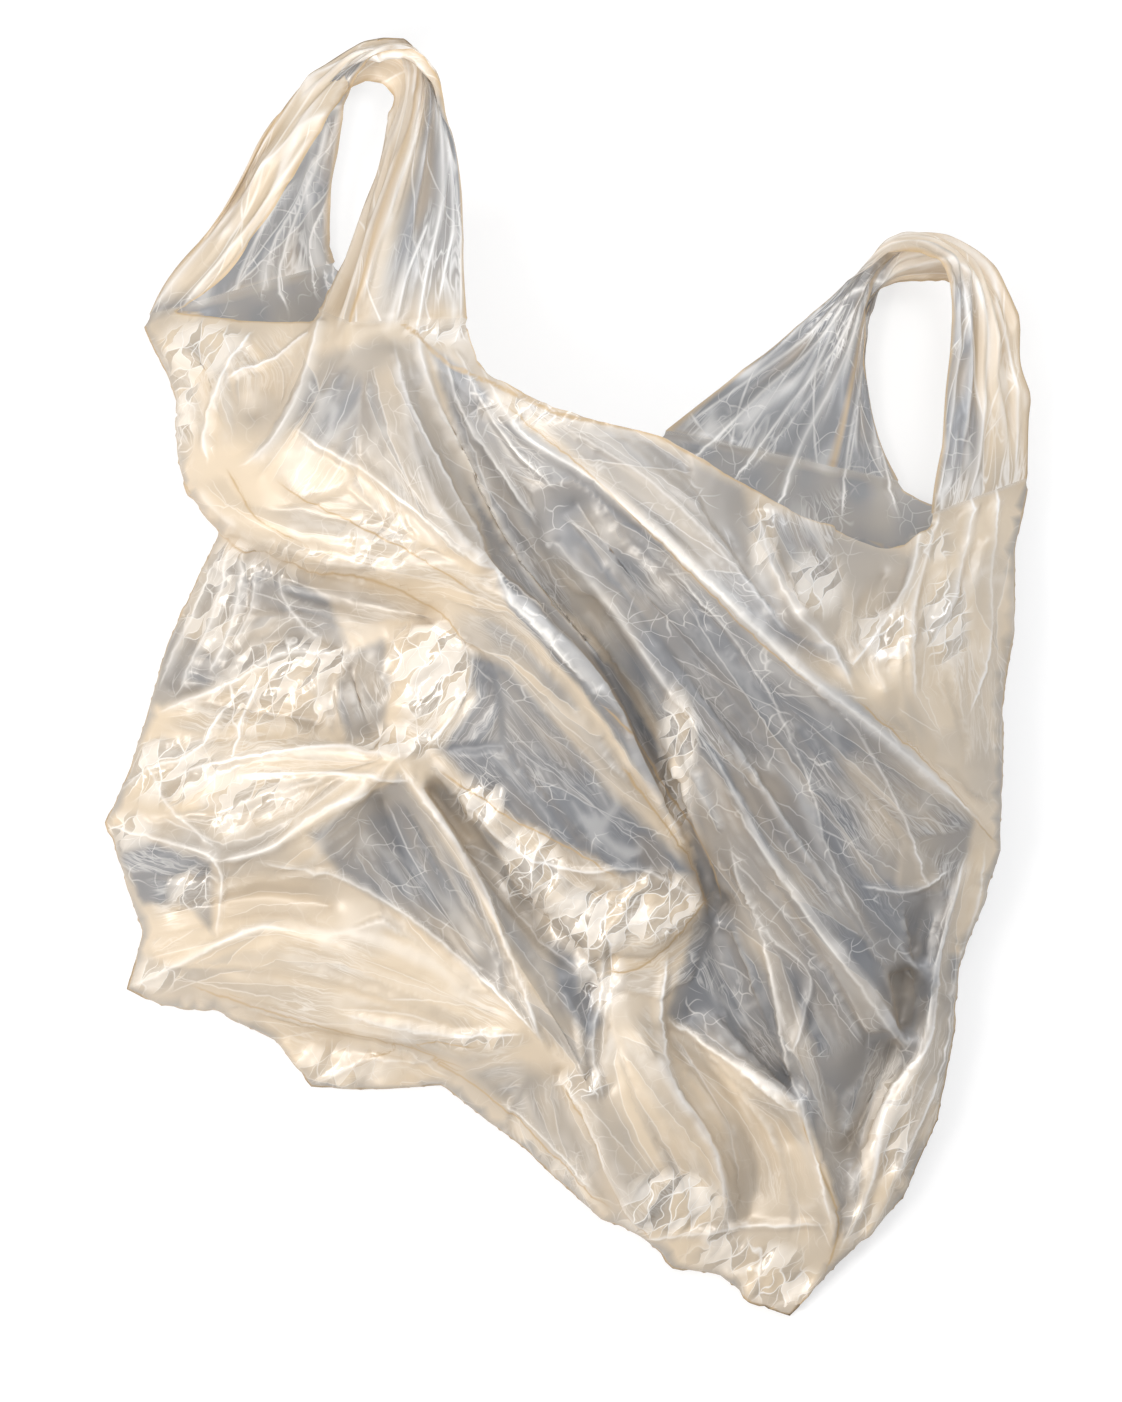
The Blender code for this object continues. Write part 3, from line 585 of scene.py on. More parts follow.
# The same on the handles and on the back panel, which show no other folds.
HANDLE_PLEATS = [
    (2.4, 6, 1.0, [(850, 298), (829, 330), (760, 395), (693, 458), (660, 480)]),
    (1.8, 4, 0.9, [(856, 303), (845, 332), (790, 405), (732, 484)]),
    (2.6, 8, 1.0, [(862, 298), (856, 330), (830, 390), (802, 443), (778, 510)]),
    (1.6, 4, 0.8, [(866, 310), (860, 380), (848, 450), (842, 522)]),
    (1.4, 4, 0.6, [(868, 340), (880, 440), (900, 520)]),
    (1.4, 4, 0.7, [(846, 304), (780, 358), (690, 422)]),
    (1.2, 4, 0.5, [(858, 320), (815, 390), (752, 470)]),
    (2.0, 5, 0.9, [(330, 118), (314, 181), (288, 242), (280, 284), (289, 312)]),
    (1.6, 4, 0.8, [(332, 140), (330, 195), (312, 240), (318, 302)]),
    (1.6, 4, 0.9, [(322, 150), (303, 195), (275, 245), (262, 302)]),
    (1.4, 4, 0.7, [(300, 180), (272, 215), (240, 288)]),
    (1.4, 4, 0.7, [(335, 240), (326, 270), (330, 305)]),
    (1.4, 12, 1.0, [(392, 104), (376, 150), (350, 220), (328, 300)]),
    (2.0, 6, 1.0, [(418, 66), (418, 127), (398, 196), (375, 257), (366, 310)]),
    (2.6, 7, 1.0, [(434, 90), (441, 150), (441, 204), (425, 288), (418, 345)]),
    (1.6, 4, 0.8, [(429, 227), (406, 288), (398, 330)]),
    (1.6, 4, 0.8, [(446, 140), (452, 220), (440, 310)]),
    (1.4, 4, 0.7, [(455, 180), (461, 260), (462, 330)]),
    (2.2, 8, 1.0, [(146, 324), (203, 250), (284, 154), (345, 104), (418, 66)]),
    (1.8, 6, 0.9, [(182, 312), (234, 252), (284, 188), (322, 128)]),
    (1.6, 5, 0.8, [(160, 296), (215, 222), (268, 134), (330, 72), (385, 46)]),
    (1.6, 5, 0.8, [(355, 66), (395, 50), (425, 66), (436, 96)]),
    (1.8, 5, 0.9, [(957, 296), (955, 380), (944, 440), (934, 504)]),
    (2.4, 8, 1.0, [(968, 268), (986, 330), (980, 420), (968, 495)]),
    (1.8, 5, 0.8, [(995, 290), (1012, 370), (1014, 470)]),
    (1.6, 4, 0.8, [(962, 285), (970, 360), (958, 450)]),
    (1.8, 6, 0.9, [(800, 343), (850, 298), (900, 268), (948, 262), (975, 290)]),
    (1.6, 5, 0.8, [(868, 262), (905, 242), (945, 242), (985, 268), (1006, 310)]),
]

# Creases seen on end, with painted shade along them in the edge's brown: (half width in pixels,
# strength, line).
SHADED_CREASE_LINES = [
    (7, 0.9, [(178, 470), (222, 535), (291, 567), (383, 586), (430, 606), (476, 648)]),
    (4, 0.7, [(280, 483), (314, 506), (368, 533), (406, 552), (483, 598)]),
    (4, 0.5, [(230, 470), (262, 520), (310, 545)]),
    (6, 0.6, [(500, 405), (580, 470), (650, 535), (705, 590), (765, 648), (820, 690)]),
    (6, 0.8, [(852, 700), (922, 762), (985, 832), (1000, 846)]),
    (9, 0.8, [(600, 700), (640, 745), (672, 800), (706, 850), (722, 900)]),
    (5, 0.6, [(440, 768), (521, 822), (561, 841), (620, 878)]),
    (6, 0.8, [(190, 985), (254, 1004), (344, 1029), (401, 1043), (470, 1070)]),
    (5, 0.7, [(560, 1080), (593, 1130), (622, 1203), (655, 1243)]),
    (5, 0.7, [(800, 1112), (822, 1170), (838, 1222), (824, 1282)]),
    (6, 0.5, [(320, 92), (336, 108), (345, 100), (380, 84)]),
    (5, 0.6, [(866, 300), (900, 262), (950, 262)]),
    (5, 0.6, [(400, 1040), (460, 1075), (540, 1140), (616, 1212)]),
    (4, 0.5, [(360, 1060), (430, 1040), (480, 1045)]),
    (5, 0.9, [(620, 764), (655, 812), (684, 852), (699, 886), (708, 912)]),
    (5, 0.9, [(604, 972), (640, 966), (668, 944), (690, 918), (710, 892)]),
]


class FilmShape(bpy.types.PropertyGroup):
    """The sizes of the bag and of its creases"""

    laid_width: FloatProperty(
        name="Laid width",
        description="Across the bag as it lies",
        default=BAG_HIGH.x - BAG_LOW.x,
        unit="LENGTH",
    )
    laid_length: FloatProperty(
        name="Laid length",
        description="From the lowest corner of the seal to the top of the left handle",
        default=BAG_HIGH.y - BAG_LOW.y,
        unit="LENGTH",
    )
    billow: FloatProperty(
        name="Billow",
        description="The height that the guide lines' heights are hundredths of",
        default=0.155,
        unit="LENGTH",
    )
    front_facet: FloatProperty(
        name="Front facet",
        description="Picture pixels between the first points of the front panel",
        default=12.8,
    )
    back_facet: FloatProperty(
        name="Back facet",
        description="Picture pixels between the first points of the back panel",
        default=56.0,
    )
    finer: IntProperty(
        name="Finer",
        description="How often each facet is cut in four",
        default=2,
    )
    crumple: FloatProperty(
        name="Crumple",
        description="How far a crushed spot's facets stand in or out",
        default=0.0016,
        unit="LENGTH",
    )
    wrinkle: FloatProperty(
        name="Wrinkle",
        description="The height of the long wrinkles that run beside the folds",
        default=0.0012,
        unit="LENGTH",
    )
    pleat: FloatProperty(
        name="Pleat",
        description="The depth of the handles' gathers",
        default=0.0032,
        unit="LENGTH",
    )
    flat_round: FloatProperty(
        name="Flat round",
        description="Round the flat tube of film, both panels and both gussets",
        default=0.80,
        unit="LENGTH",
    )
    flat_length: FloatProperty(
        name="Flat length",
        description="From the bottom seal to the top of the flat handles",
        default=0.52,
        unit="LENGTH",
    )
    cut_width: FloatProperty(
        name="Cut width",
        description="Across the piece cut from the top, between the handles",
        default=0.15,
        unit="LENGTH",
    )
    cut_depth: FloatProperty(
        name="Cut depth",
        description="Down the piece cut from the top",
        default=0.165,
        unit="LENGTH",
    )


class FilmColours(bpy.types.PropertyGroup):
    """The film's colours and gloss"""

    cream: FloatVectorProperty(
        name="Cream",
        description="Film that lies double or faces the light",
        subtype="COLOR",
        size=3,
        default=(0.70, 0.585, 0.44),
    )
    # Grey: single film, with the painted shade of the bag's inside and of folds seen through it
    grey: FloatVectorProperty(
        name="Grey",
        description="A single layer, seen through into the bag",
        subtype="COLOR",
        size=3,
        default=(0.195, 0.205, 0.225),
    )
    # The colour of the painted highlights on crests, pleats, wrinkles, hairs and glinting facets;
    # stretched film also whitens there
    crease: FloatVectorProperty(
        name="Crease",
        description="Stretched film along a crease",
        subtype="COLOR",
        size=3,
        default=(1.0, 0.985, 0.96),
    )
    # Also the colour of the painted shade in hollows, gathers and along shaded creases
    edge: FloatVectorProperty(
        name="Edge",
        description="The cut edge and the silhouette folds, seen on end",
        subtype="COLOR",
        size=3,
        default=(0.52, 0.37, 0.20),
    )
    roughness: FloatProperty(
        name="Roughness",
        description="Of calm film; crushed film is glossier",
        default=0.40,
        min=0.0,
        max=1.0,
        subtype="FACTOR",
    )


class StudioSettings(bpy.types.PropertyGroup):
    """The floor, the lamps and the camera"""

    floor_colour: FloatVectorProperty(
        name="Floor", description="The pale floor", subtype="COLOR", size=3,
        default=(0.92, 0.92, 0.92),
    )
    key_power: FloatProperty(
        name="Key", description="The warm lamp on the left", default=13.0, unit="POWER"
    )
    fill_power: FloatProperty(
        name="Fill", description="The soft lamp overhead", default=11.0, unit="POWER"
    )
    rim_power: FloatProperty(
        name="Rim", description="The lamp beyond the handles", default=7.0, unit="POWER"
    )
    glint_power: FloatProperty(
        name="Glint", description="Each small lamp overhead that glints in creases", default=5.0,
        unit="POWER"
    )
    camera_height: FloatProperty(
        name="Camera height", description="Above the floor", default=6.0, unit="LENGTH"
    )


def place(points, shape):
    """Guide points in metres, in the bag's own frame."""
    across, down, height = np.asarray(points, float).T
    x = shape.laid_width * ((across - PICTURE_LEFT) / (PICTURE_RIGHT - PICTURE_LEFT) - 0.5)
    y = shape.laid_length * (0.5 - (down - PICTURE_TOP) / (PICTURE_BOTTOM - PICTURE_TOP))
    return np.stack([x, y, shape.billow * height / 100], axis=1)


def plan_of(metres, shape):
    """The picture's pixels that points in metres lie at."""
    across = PICTURE_LEFT + (metres[:, 0] / shape.laid_width + 0.5) * (PICTURE_RIGHT - PICTURE_LEFT)
    down = PICTURE_TOP + (0.5 - metres[:, 1] / shape.laid_length) * (PICTURE_BOTTOM - PICTURE_TOP)
    return np.stack([across, down], axis=1)


def divided(line, pieces):
    """A straight line cut into equal pieces."""
    share = np.linspace(0, 1, pieces + 1)[:, None]
    return (1 - share) * np.array(line[0], float) + share * np.array(line[-1], float)


def spaced(line, spacing):
    """A chain of straight lines, cut so that no piece is much longer than the spacing."""
    points = [np.array(line[0], float)]
    for start, end in zip(line, line[1:]):
        pieces = max(1, round(math.dist(start[:2], end[:2]) / spacing))
        points += list(divided([start, end], pieces)[1:])
    return np.array(points)


def rounded(line, spacing):
    """Points on a smooth curve through the line's own points."""
    length = sum(math.dist(a[:2], b[:2]) for a, b in zip(line, line[1:]))
    return smooth_path(line, max(2, round(length / spacing) + 1))


def smooth_path(line, count):
    """Count points, evenly spread, on a smooth curve through the line's own points."""
    known = np.array(line, float)
    steps = np.linalg.norm(np.diff(known, axis=0), axis=1)
    along = np.concatenate([[0], np.cumsum(steps)])
    slopes = np.gradient(known, along, axis=0)
    wanted = np.linspace(0, along[-1], count)
    piece = np.clip(np.searchsorted(along, wanted, side="right") - 1, 0, len(steps) - 1)
    length = steps[piece][:, None]
    t = (wanted - along[piece])[:, None] / length
    return (
        (2 * t**3 - 3 * t**2 + 1) * known[piece]
        + (t**3 - 2 * t**2 + t) * length * slopes[piece]
        + (3 * t**2 - 2 * t**3) * known[piece + 1]
        + (t**3 - t**2) * length * slopes[piece + 1]
    )


def inside(loop, points):
    """Which plan points are inside a closed loop."""
    loop = np.asarray(loop, float)[:, :2]
    within = np.zeros(len(points), bool)
    for (ax, ay), (bx, by) in zip(loop, np.roll(loop, -1, axis=0)):
        if ay == by:
            continue
        crosses = (ay > points[:, 1]) != (by > points[:, 1])
        at = ax + (points[:, 1] - ay) * (bx - ax) / (by - ay)
        within ^= crosses & (points[:, 0] < at)
    return within


def chain_gap(points, chain):
    """How far each plan point is from a chain of straight lines.

    It gives the gap, how far along the chain is nearest, from 0 to 1, and the side, -1 or 1.
    """
    chain = np.asarray(chain, float)[:, :2]
    least = np.full(len(points), np.inf)
    along = np.zeros(len(points))
    side = np.ones(len(points))
    for number, (start, end) in enumerate(zip(chain, chain[1:])):
        run = end - start
        reach = points - start
        share = (reach[:, 0] * run[0] + reach[:, 1] * run[1]) / max(run @ run, 1e-9)
        share = np.clip(share, 0, 1)
        away = (reach[:, 0] - share * run[0]) ** 2 + (reach[:, 1] - share * run[1]) ** 2
        nearer = away < least
        least[nearer] = away[nearer]
        along[nearer] = (number + share[nearer]) / (len(chain) - 1)
        turn = reach[nearer, 1] * run[0] - reach[nearer, 0] * run[1]
        side[nearer] = np.where(turn < 0, -1.0, 1.0)
    return np.sqrt(least), along, side


def line_mask(plan, line, half_width):
    """1 on a line, falling straight to 0 at its half width and towards its two ends.

    It also gives the gap to the line, in pixels, below 0 on one side.
    """
    chain = smooth_path([(across, down, 0) for across, down in line], 5 * len(line))
    low = chain.min(axis=0)[:2] - half_width
    high = chain.max(axis=0)[:2] + half_width
    near = ((plan > low) & (plan < high)).all(axis=1)
    gap, along, side = chain_gap(plan[near], chain)
    fade = smoothstep(-0.02, 0.12, along) * (1 - smoothstep(0.86, 1.02, along))
    mask = np.zeros(len(plan))
    mask[near] = np.maximum(0.0, 1 - gap / half_width) * fade
    signed = np.full(len(plan), FAR)
    signed[near] = side * np.minimum(gap, FAR)
    return mask, signed


class Strokes:
    """The strongest line near each point: how strong it is there, and its gap in pixels."""

    def __init__(self, count):
        self.strength = np.zeros(count)
        self.gap = np.full(count, FAR)

    def add(self, mask, gap):
        stronger = mask > self.strength
        self.strength[stronger] = mask[stronger]
        self.gap[stronger] = gap[stronger]


def smoothstep(low, high, value):
    share = np.clip((value - low) / (high - low), 0, 1)
    return share * share * (3 - 2 * share)


def corner_heights(across, down, seed):
    """Random heights from -1 to 1 at the corners of each place's cell, each 1 by 1.

    The four are upper left, upper right, lower left and lower right. It also gives how far
    across and down its cell each place is, from 0 to 1.
    """
    size = 128
    table = np.random.default_rng(seed).uniform(-1, 1, (size, size))
    column, row = np.floor(across).astype(int), np.floor(down).astype(int)
    heights = [table[(row + j) % size, (column + i) % size] for j in (0, 1) for i in (0, 1)]
    return heights, across - column, down - row


def lattice_noise(across, down, seed):
    """Smooth noise from -1 to 1 over a plane, one bump to each unit."""
    (h00, h10, h01, h11), s, t = corner_heights(across, down, seed)
    s, t = s * s * (3 - 2 * s), t * t * (3 - 2 * t)
    upper = h00 + (h10 - h00) * s
    lower = h01 + (h11 - h01) * s
    return upper + (lower - upper) * t


def smooth_noise(across, down, grain):
    """Smooth noise from -1 to 1 of one grain, at places in pixels."""
    return lattice_noise(across / grain.wide, down / grain.tall, grain.seed)


def edge_lines():
    """The bag's edges, cut to the mesh's points; both panels share these."""
    return {
        "seal": spaced(BOTTOM_SEAL, EDGE_SPACING),
        "left": spaced(LEFT_SIDE, EDGE_SPACING),
        "right": spaced(RIGHT_SIDE, EDGE_SPACING),
        "left_gusset_foot": divided(LEFT_GUSSET_FOOT, GUSSET_COLUMNS),
        "left_gusset_rim": rounded(LEFT_GUSSET_RIM, EDGE_SPACING),
        "front_left_gusset": divided(FRONT_LEFT_FOOT_GUSSET, GUSSET_COLUMNS),
        "front_left_panel": divided(FRONT_LEFT_FOOT_PANEL, PANEL_COLUMNS),
        "front_rim": rounded(FRONT_RIM, EDGE_SPACING),
        "front_right_panel": divided(FRONT_RIGHT_FOOT_PANEL, PANEL_COLUMNS),
        "front_right_gusset": divided(FRONT_RIGHT_FOOT_GUSSET, GUSSET_COLUMNS),
        "right_gusset_rim": rounded(RIGHT_GUSSET_RIM, EDGE_SPACING),
        "back_right_gusset": divided(BACK_RIGHT_FOOT_GUSSET, GUSSET_COLUMNS),
        "back_right_panel": divided(BACK_RIGHT_FOOT_PANEL, PANEL_COLUMNS),
        "back_rim": rounded(BACK_RIM, EDGE_SPACING),
        "back_left_panel": divided(BACK_LEFT_FOOT_PANEL, PANEL_COLUMNS),
    }


def joined(*lines):
    """Lines that meet end to end, as one closed loop with no point twice."""
    return np.concatenate([line[:-1] for line in lines])


def front_outline(edges):
    return joined(
        edges["seal"],
        edges["right"],
        edges["front_right_panel"][::-1],
        edges["front_rim"][::-1],
        edges["front_left_panel"][::-1],
        edges["front_left_gusset"][::-1],
        edges["left_gusset_rim"][::-1],
        edges["left_gusset_foot"][::-1],
        edges["left"][::-1],
    )


def back_outline(edges):
    return joined(
        edges["seal"],
        edges["right"],
        edges["front_right_gusset"],
        edges["right_gusset_rim"],
        edges["back_right_gusset"],
        edges["back_right_panel"],
        edges["back_rim"],
        edges["back_left_panel"],
        edges["left"][::-1],
    )


def scatter(outline, taken, spacing, rng):
    """Points on a shaken triangular grid inside the outline, clear of the points taken."""
    rows = np.arange(PICTURE_TOP, PICTURE_BOTTOM, ROW_STEP * spacing)
    columns = np.arange(PICTURE_LEFT, PICTURE_RIGHT, spacing)
    down, across = np.meshgrid(rows, columns, indexing="ij")
    across = across + 0.5 * spacing * (np.arange(len(rows)) % 2)[:, None]
    points = np.stack([across.ravel(), down.ravel()], axis=1)
    points += rng.uniform(-SHAKE, SHAKE, points.shape) * spacing
    points = points[inside(outline, points)]
    least = LOOSE_GAP * spacing
    clear = np.array([np.hypot(*(taken[:, :2] - p).T).min() > least for p in points])
    return np.column_stack([points[clear], np.zeros(clear.sum())])


def fold_points(folds, outline, spacing):
    """The folds as chains of points that keep clear of the outline and of each other."""
    least = FOLD_POINT_GAP * spacing
    points = []
    links = []
    for line in folds:
        chain = []
        for point in rounded(line, spacing):
            plan = point[None, :2]
            if not inside(outline, plan)[0]:
                continue
            if np.hypot(*(outline[:, :2] - plan).T).min() < least:
                continue
            near = [i for i, p in enumerate(points) if math.dist(p[:2], point[:2]) < least]
            if near:
                chain.append(near[0])
                continue
            chain.append(len(points))
            points.append(point)
        links += [(a, b) for a, b in zip(chain, chain[1:]) if a != b]
    return np.array(points), links


def triangulated(outline, points, links):
    """Triangles over the outline and the points, with every link kept as an edge.

    It gives the points, the place of each in outline + points, and the faces.
    """
    first = len(outline)
    known = np.concatenate([outline, points])
    plan = [(p[0], -p[1]) for p in known]
    edges = [(a + first, b + first) for a, b in links]
    verts, _, faces, source, _, _ = delaunay_2d_cdt(plan, edges, [list(range(first))], 1, 1e-4)
    origin = np.array([s[0] if s else len(known) for s in source])
    heights = np.append(known[:, 2], 0.0)[origin]
    found = np.array([(v[0], -v[1], h) for v, h in zip(verts, heights)])
    return found, origin, np.array(faces)


def edge_pulls(plan, faces):
    """How strongly each facet pulls the ends of its edges level: edges 12, 20 and 01 in turn.

    A slim facet pulls less across its long side, so that film between two lines is even.
    """
    pulls = []
    for corner in range(3):
        first = plan[faces[:, (corner + 1) % 3]] - plan[faces[:, corner]]
        second = plan[faces[:, (corner + 2) % 3]] - plan[faces[:, corner]]
        doubled = np.abs(first[:, 0] * second[:, 1] - first[:, 1] * second[:, 0])
        pulls.append((first * second).sum(axis=1) / np.maximum(doubled, 1e-6))
    return np.clip(np.concatenate(pulls), LEAST_PULL, MOST_PULL)


def settle(points, held, faces, puff):
    """Heights of free points hung taut between the held ones, lifted by the puff.

    They are found by conjugate gradients.
    """
    heights = points[:, 2]
    ends = np.concatenate([faces[:, [1, 2]], faces[:, [2, 0]], faces[:, [0, 1]]])
    both = np.concatenate([ends, ends[:, ::-1]])
    strength = np.tile(edge_pulls(points[:, :2], faces), 2)
    count = np.bincount(both[:, 0], weights=strength, minlength=len(heights))

    def pull(values):
        weights = strength * values[both[:, 1]]
        total = np.bincount(both[:, 0], weights=weights, minlength=len(values))
        return np.where(held, 0.0, count * values - total)

    level = np.where(held, heights, heights[held].mean())
    rest = np.where(held, 0.0, count * puff) - pull(level)
    rest[held] = 0.0
    step = rest.copy()
    size = rest @ rest
    for _ in range(SETTLE_ROUNDS):
        drawn = pull(step)
        length = size / max(step @ drawn, 1e-30)
        level = level + length * step
        rest = rest - length * drawn
        fresh = rest @ rest
        if fresh < 1e-8:
            break
        step = rest + fresh / size * step
        size = fresh
    return level


def front_panel(outline, shape, rng):
    """The front panel: taut film between its crests and hollows."""
    points, links = fold_points(FOLDS, outline, shape.front_facet)
    loose = scatter(outline, np.concatenate([outline, points]), shape.front_facet, rng)
    found, origin, faces = triangulated(outline, np.concatenate([points, loose]), links)
    held = origin < len(outline) + len(points)
    puff = PUFF * (shape.front_facet / PUFF_FACET) ** 2
    found[:, 2] = settle(found, held, faces, puff)
    return found, faces


def back_panel(outline, shape, rng):
    """The back panel: flat on the floor inside the resting line, curling up to its edges."""
    line = [(across, down, 0.0) for across, down in RESTING_LINE]
    rest = spaced(line + line[:1], shape.back_facet)[:-1]
    links = [(i, (i + 1) % len(rest)) for i in range(len(rest))]
    taken = np.concatenate([outline, rest])
    for loop in MOUTH_LOOPS:
        taken = np.concatenate([taken, scatter(loop, taken, shape.front_facet, rng)])
    loose = scatter(outline, taken, shape.back_facet, rng)
    loose = np.concatenate([taken[len(outline) + len(rest):], loose])
    found, origin, faces = triangulated(outline, np.concatenate([rest, loose]), links)
    lying = inside(line, found) | (origin < len(outline) + len(rest))
    found[:, 2] = settle(found, lying, faces, 0.0)
    return found, faces[:, ::-1]


def handle(lines, feet, turned, right):
    """One loop as rows of points, from the back foot over the top to the front foot."""
    mouth, side, gusset = (smooth_path(line, HANDLE_ROWS + 1) for line in lines)
    points = []
    for row in range(HANDLE_ROWS + 1):
        strip = np.concatenate([
            divided([mouth[row], side[row]], PANEL_COLUMNS)[:-1],
            divided([side[row], gusset[row]], GUSSET_COLUMNS),
        ])
        if row in (0, HANDLE_ROWS):
            strip = feet[0 if row == 0 else 1]
        columns = len(strip)
        values = np.zeros((columns, CARRIED))
        values[:, PLACE] = strip
        values[:, ACROSS_STRIP] = np.linspace(0, 1, columns)
        values[:, ALONG_STRIP] = row / HANDLE_ROWS
        values[:, STRIP] = 0.0 if row in (0, HANDLE_ROWS) else 1.0
        values[:, RIGHT_STRIP] = float(right)
        points.append(values)
    faces = []
    for row in range(HANDLE_ROWS):
        for column in range(columns - 1):
            a = row * columns + column
            corners = (a, a + 1, a + columns + 1, a + columns)
            a, b, c, d = corners[::-1] if turned else corners
            faces += [(a, b, c), (a, c, d)]
    return np.concatenate(points), np.array(faces)


def handles(edges):
    left_back = np.concatenate([edges["back_left_panel"], edges["left_gusset_foot"][1:]])
    left_front = np.concatenate([edges["front_left_gusset"], edges["front_left_panel"][1:]])
    right_back = np.concatenate([edges["back_right_gusset"], edges["back_right_panel"][1:]])
    right_front = np.concatenate([edges["front_right_panel"], edges["front_right_gusset"][1:]])
    left_lines = (LEFT_HANDLE_MOUTH_EDGE, LEFT_HANDLE_FOLD, LEFT_HANDLE_GUSSET_EDGE)
    right_lines = (RIGHT_HANDLE_MOUTH_EDGE, RIGHT_HANDLE_FOLD, RIGHT_HANDLE_GUSSET_EDGE)
    return (
        handle(left_lines, (left_back, left_front[::-1]), turned=False, right=False),
        handle(right_lines, (right_back[::-1], right_front), turned=True, right=True),
    )


def welded(pieces):
    """One set of points and faces, with points at one place made one; a strip's points win."""
    points = np.concatenate([found for found, _ in pieces])
    offsets = np.cumsum([0] + [len(found) for found, _ in pieces[:-1]])
    faces = np.concatenate([part + offset for (_, part), offset in zip(pieces, offsets)])
    key = np.round(points[:, PLACE] * WELD_STEPS).astype(np.int64)
    _, first, index = np.unique(key, axis=0, return_index=True, return_inverse=True)
    index = index.reshape(-1)
    merged = points[first]
    columns = np.arange(ACROSS_STRIP, CARRIED)
    np.maximum.at(merged, (index[:, None], columns[None, :]), points[:, columns])
    used, fresh = np.unique(index[faces], return_inverse=True)
    return merged[used], fresh.reshape(faces.shape)


def sheet_of_film(shape):
    """The whole bag's points and faces, in picture places and heights."""
    rng = np.random.default_rng(FILM_SEED)
    edges = edge_lines()
    pieces = []
    for number, (found, faces) in enumerate((
        front_panel(front_outline(edges), shape, rng),
        back_panel(back_outline(edges), shape, rng),
    )):
        values = np.zeros((len(found), CARRIED))
        values[:, PLACE] = found
        values[:, BACK] = number
        pieces.append((values, faces))
    return welded(pieces + list(handles(edges)))


def subdivided(values, faces):
    """Every triangle cut in four, with the values of a new point halfway between its ends'."""
    ends = np.concatenate([faces[:, [0, 1]], faces[:, [1, 2]], faces[:, [2, 0]]])
    pairs, index = np.unique(np.sort(ends, axis=1), axis=0, return_inverse=True)
    ab, bc, ca = index.reshape(3, -1) + len(values)
    a, b, c = faces.T
    corners = ((a, ab, ca), (ab, b, bc), (ca, bc, c), (ab, bc, ca))
    cut = np.concatenate([np.stack(corner, axis=1) for corner in corners])
    return np.concatenate([values, values[pairs].mean(axis=1)]), cut


def normals_of(points, faces):
    a, b, c = (points[faces[:, i]] for i in range(3))
    flat = np.cross(b - a, c - a)
    total = np.zeros_like(points)
    for corner in range(3):
        np.add.at(total, faces[:, corner], flat)
    return total / np.maximum(np.linalg.norm(total, axis=1), 1e-12)[:, None]


def middles(points, faces):
    """The middle of each point's neighbours."""
    ends = np.concatenate([faces[:, [0, 1]], faces[:, [1, 2]], faces[:, [2, 0]]])
    both = np.concatenate([ends, ends[:, ::-1]])
    count = np.bincount(both[:, 0], minlength=len(points)).astype(float)
    return np.stack([
        np.bincount(both[:, 0], weights=points[both[:, 1], axis], minlength=len(points)) / count
        for axis in range(points.shape[1])
    ], axis=1)


def eased(points, faces, amount, rounds):
    """Each point moved a share of the way to the middle of its neighbours."""
    for _ in range(rounds):
        points = points + amount * (middles(points, faces) - points)
    return points


def crease_heights(points, faces):
    """How far each point stands out of its neighbours' middle: above 0 on crests, in metres."""
    return ((points - middles(points, faces)) * normals_of(points, faces)).sum(axis=1)


def crushed(plan):
    """How crushed the film is at each plan point, from 0 to about 1."""
    found = np.zeros(len(plan))
    for across, down, wide, tall, strength in CRUSHED_SPOTS:
        gap = np.hypot((plan[:, 0] - across) / wide, (plan[:, 1] - down) / tall)
        found = np.maximum(found, strength * (1 - smoothstep(*CRUSH_BORDER, gap)))
    return found


def fold_places(plan, values):
    """Each point's place beside its nearest fold: across and along it, in pixels.

    It also gives the gap to that fold, and how clearly it is the nearest: from 0 to 1, and
    always the same on a handle.
    """
    least = np.full(len(plan), np.inf)
    second = np.full(len(plan), np.inf)
    across = np.zeros(len(plan))
    along = np.zeros(len(plan))
    to_end = np.zeros(len(plan))
    for number, line in enumerate(FOLDS):
        length = sum(math.dist(a[:2], b[:2]) for a, b in zip(line, line[1:]))
        gap, share, side = chain_gap(plan, line)
        nearer = gap < least
        second = np.where(nearer, least, np.minimum(second, gap))
        least[nearer] = gap[nearer]
        across[nearer] = (side * gap + FOLD_STEP * number)[nearer]
        to_end[nearer] = length * np.minimum(share, 1 - share)[nearer]
        along[nearer] = length * share[nearer]
    clear = smoothstep(*NEXT_FOLD, second - least) * smoothstep(*FOLD_END, to_end)
    strip = values[:, STRIP] > 0.5
    side_by_side = FOLD_STEP * (1 + values[strip, RIGHT_STRIP])
    across[strip] = STRIP_WIDTH * values[strip, ACROSS_STRIP] - side_by_side
    along[strip] = HANDLE_LENGTH * values[strip, ALONG_STRIP]
    return across, along, least, np.where(strip, HANDLE_CLEAR, clear)


def facet_cells(across, down, grain, jagged=0.0):
    """Each place in bent, slanted cells that are 1 across and 1 down."""
    across, down = across / grain.wide, down / grain.tall
    bent = CELL_BEND * lattice_noise(across * 0.6 + 7, down * 0.6 + 3, grain.seed + 1)
    finer = jagged * lattice_noise(across * 1.9 + 5, down * 1.9 + 9, grain.seed + 2)
    across = across + bent + finer
    return across, down + CELL_SLANT * across - bent + 0.6 * finer


def facet_noise(cells, grain):
    """The height of flat three-sided facets, two to a cell, from -1 to 1."""
    (h00, h10, h01, h11), s, t = corner_heights(*cells, grain.seed)
    lower = h00 + s * (h10 - h00) + t * (h01 - h00)
    upper = h11 + (1 - s) * (h01 - h11) + (1 - t) * (h10 - h11)
    return np.where(s + t < 1, lower, upper)


def ridges(noise):
    """Narrow winding crests, from about -1 to 1, where smooth noise passes 0."""
    return 1 - RIDGE_RISE * np.abs(noise)


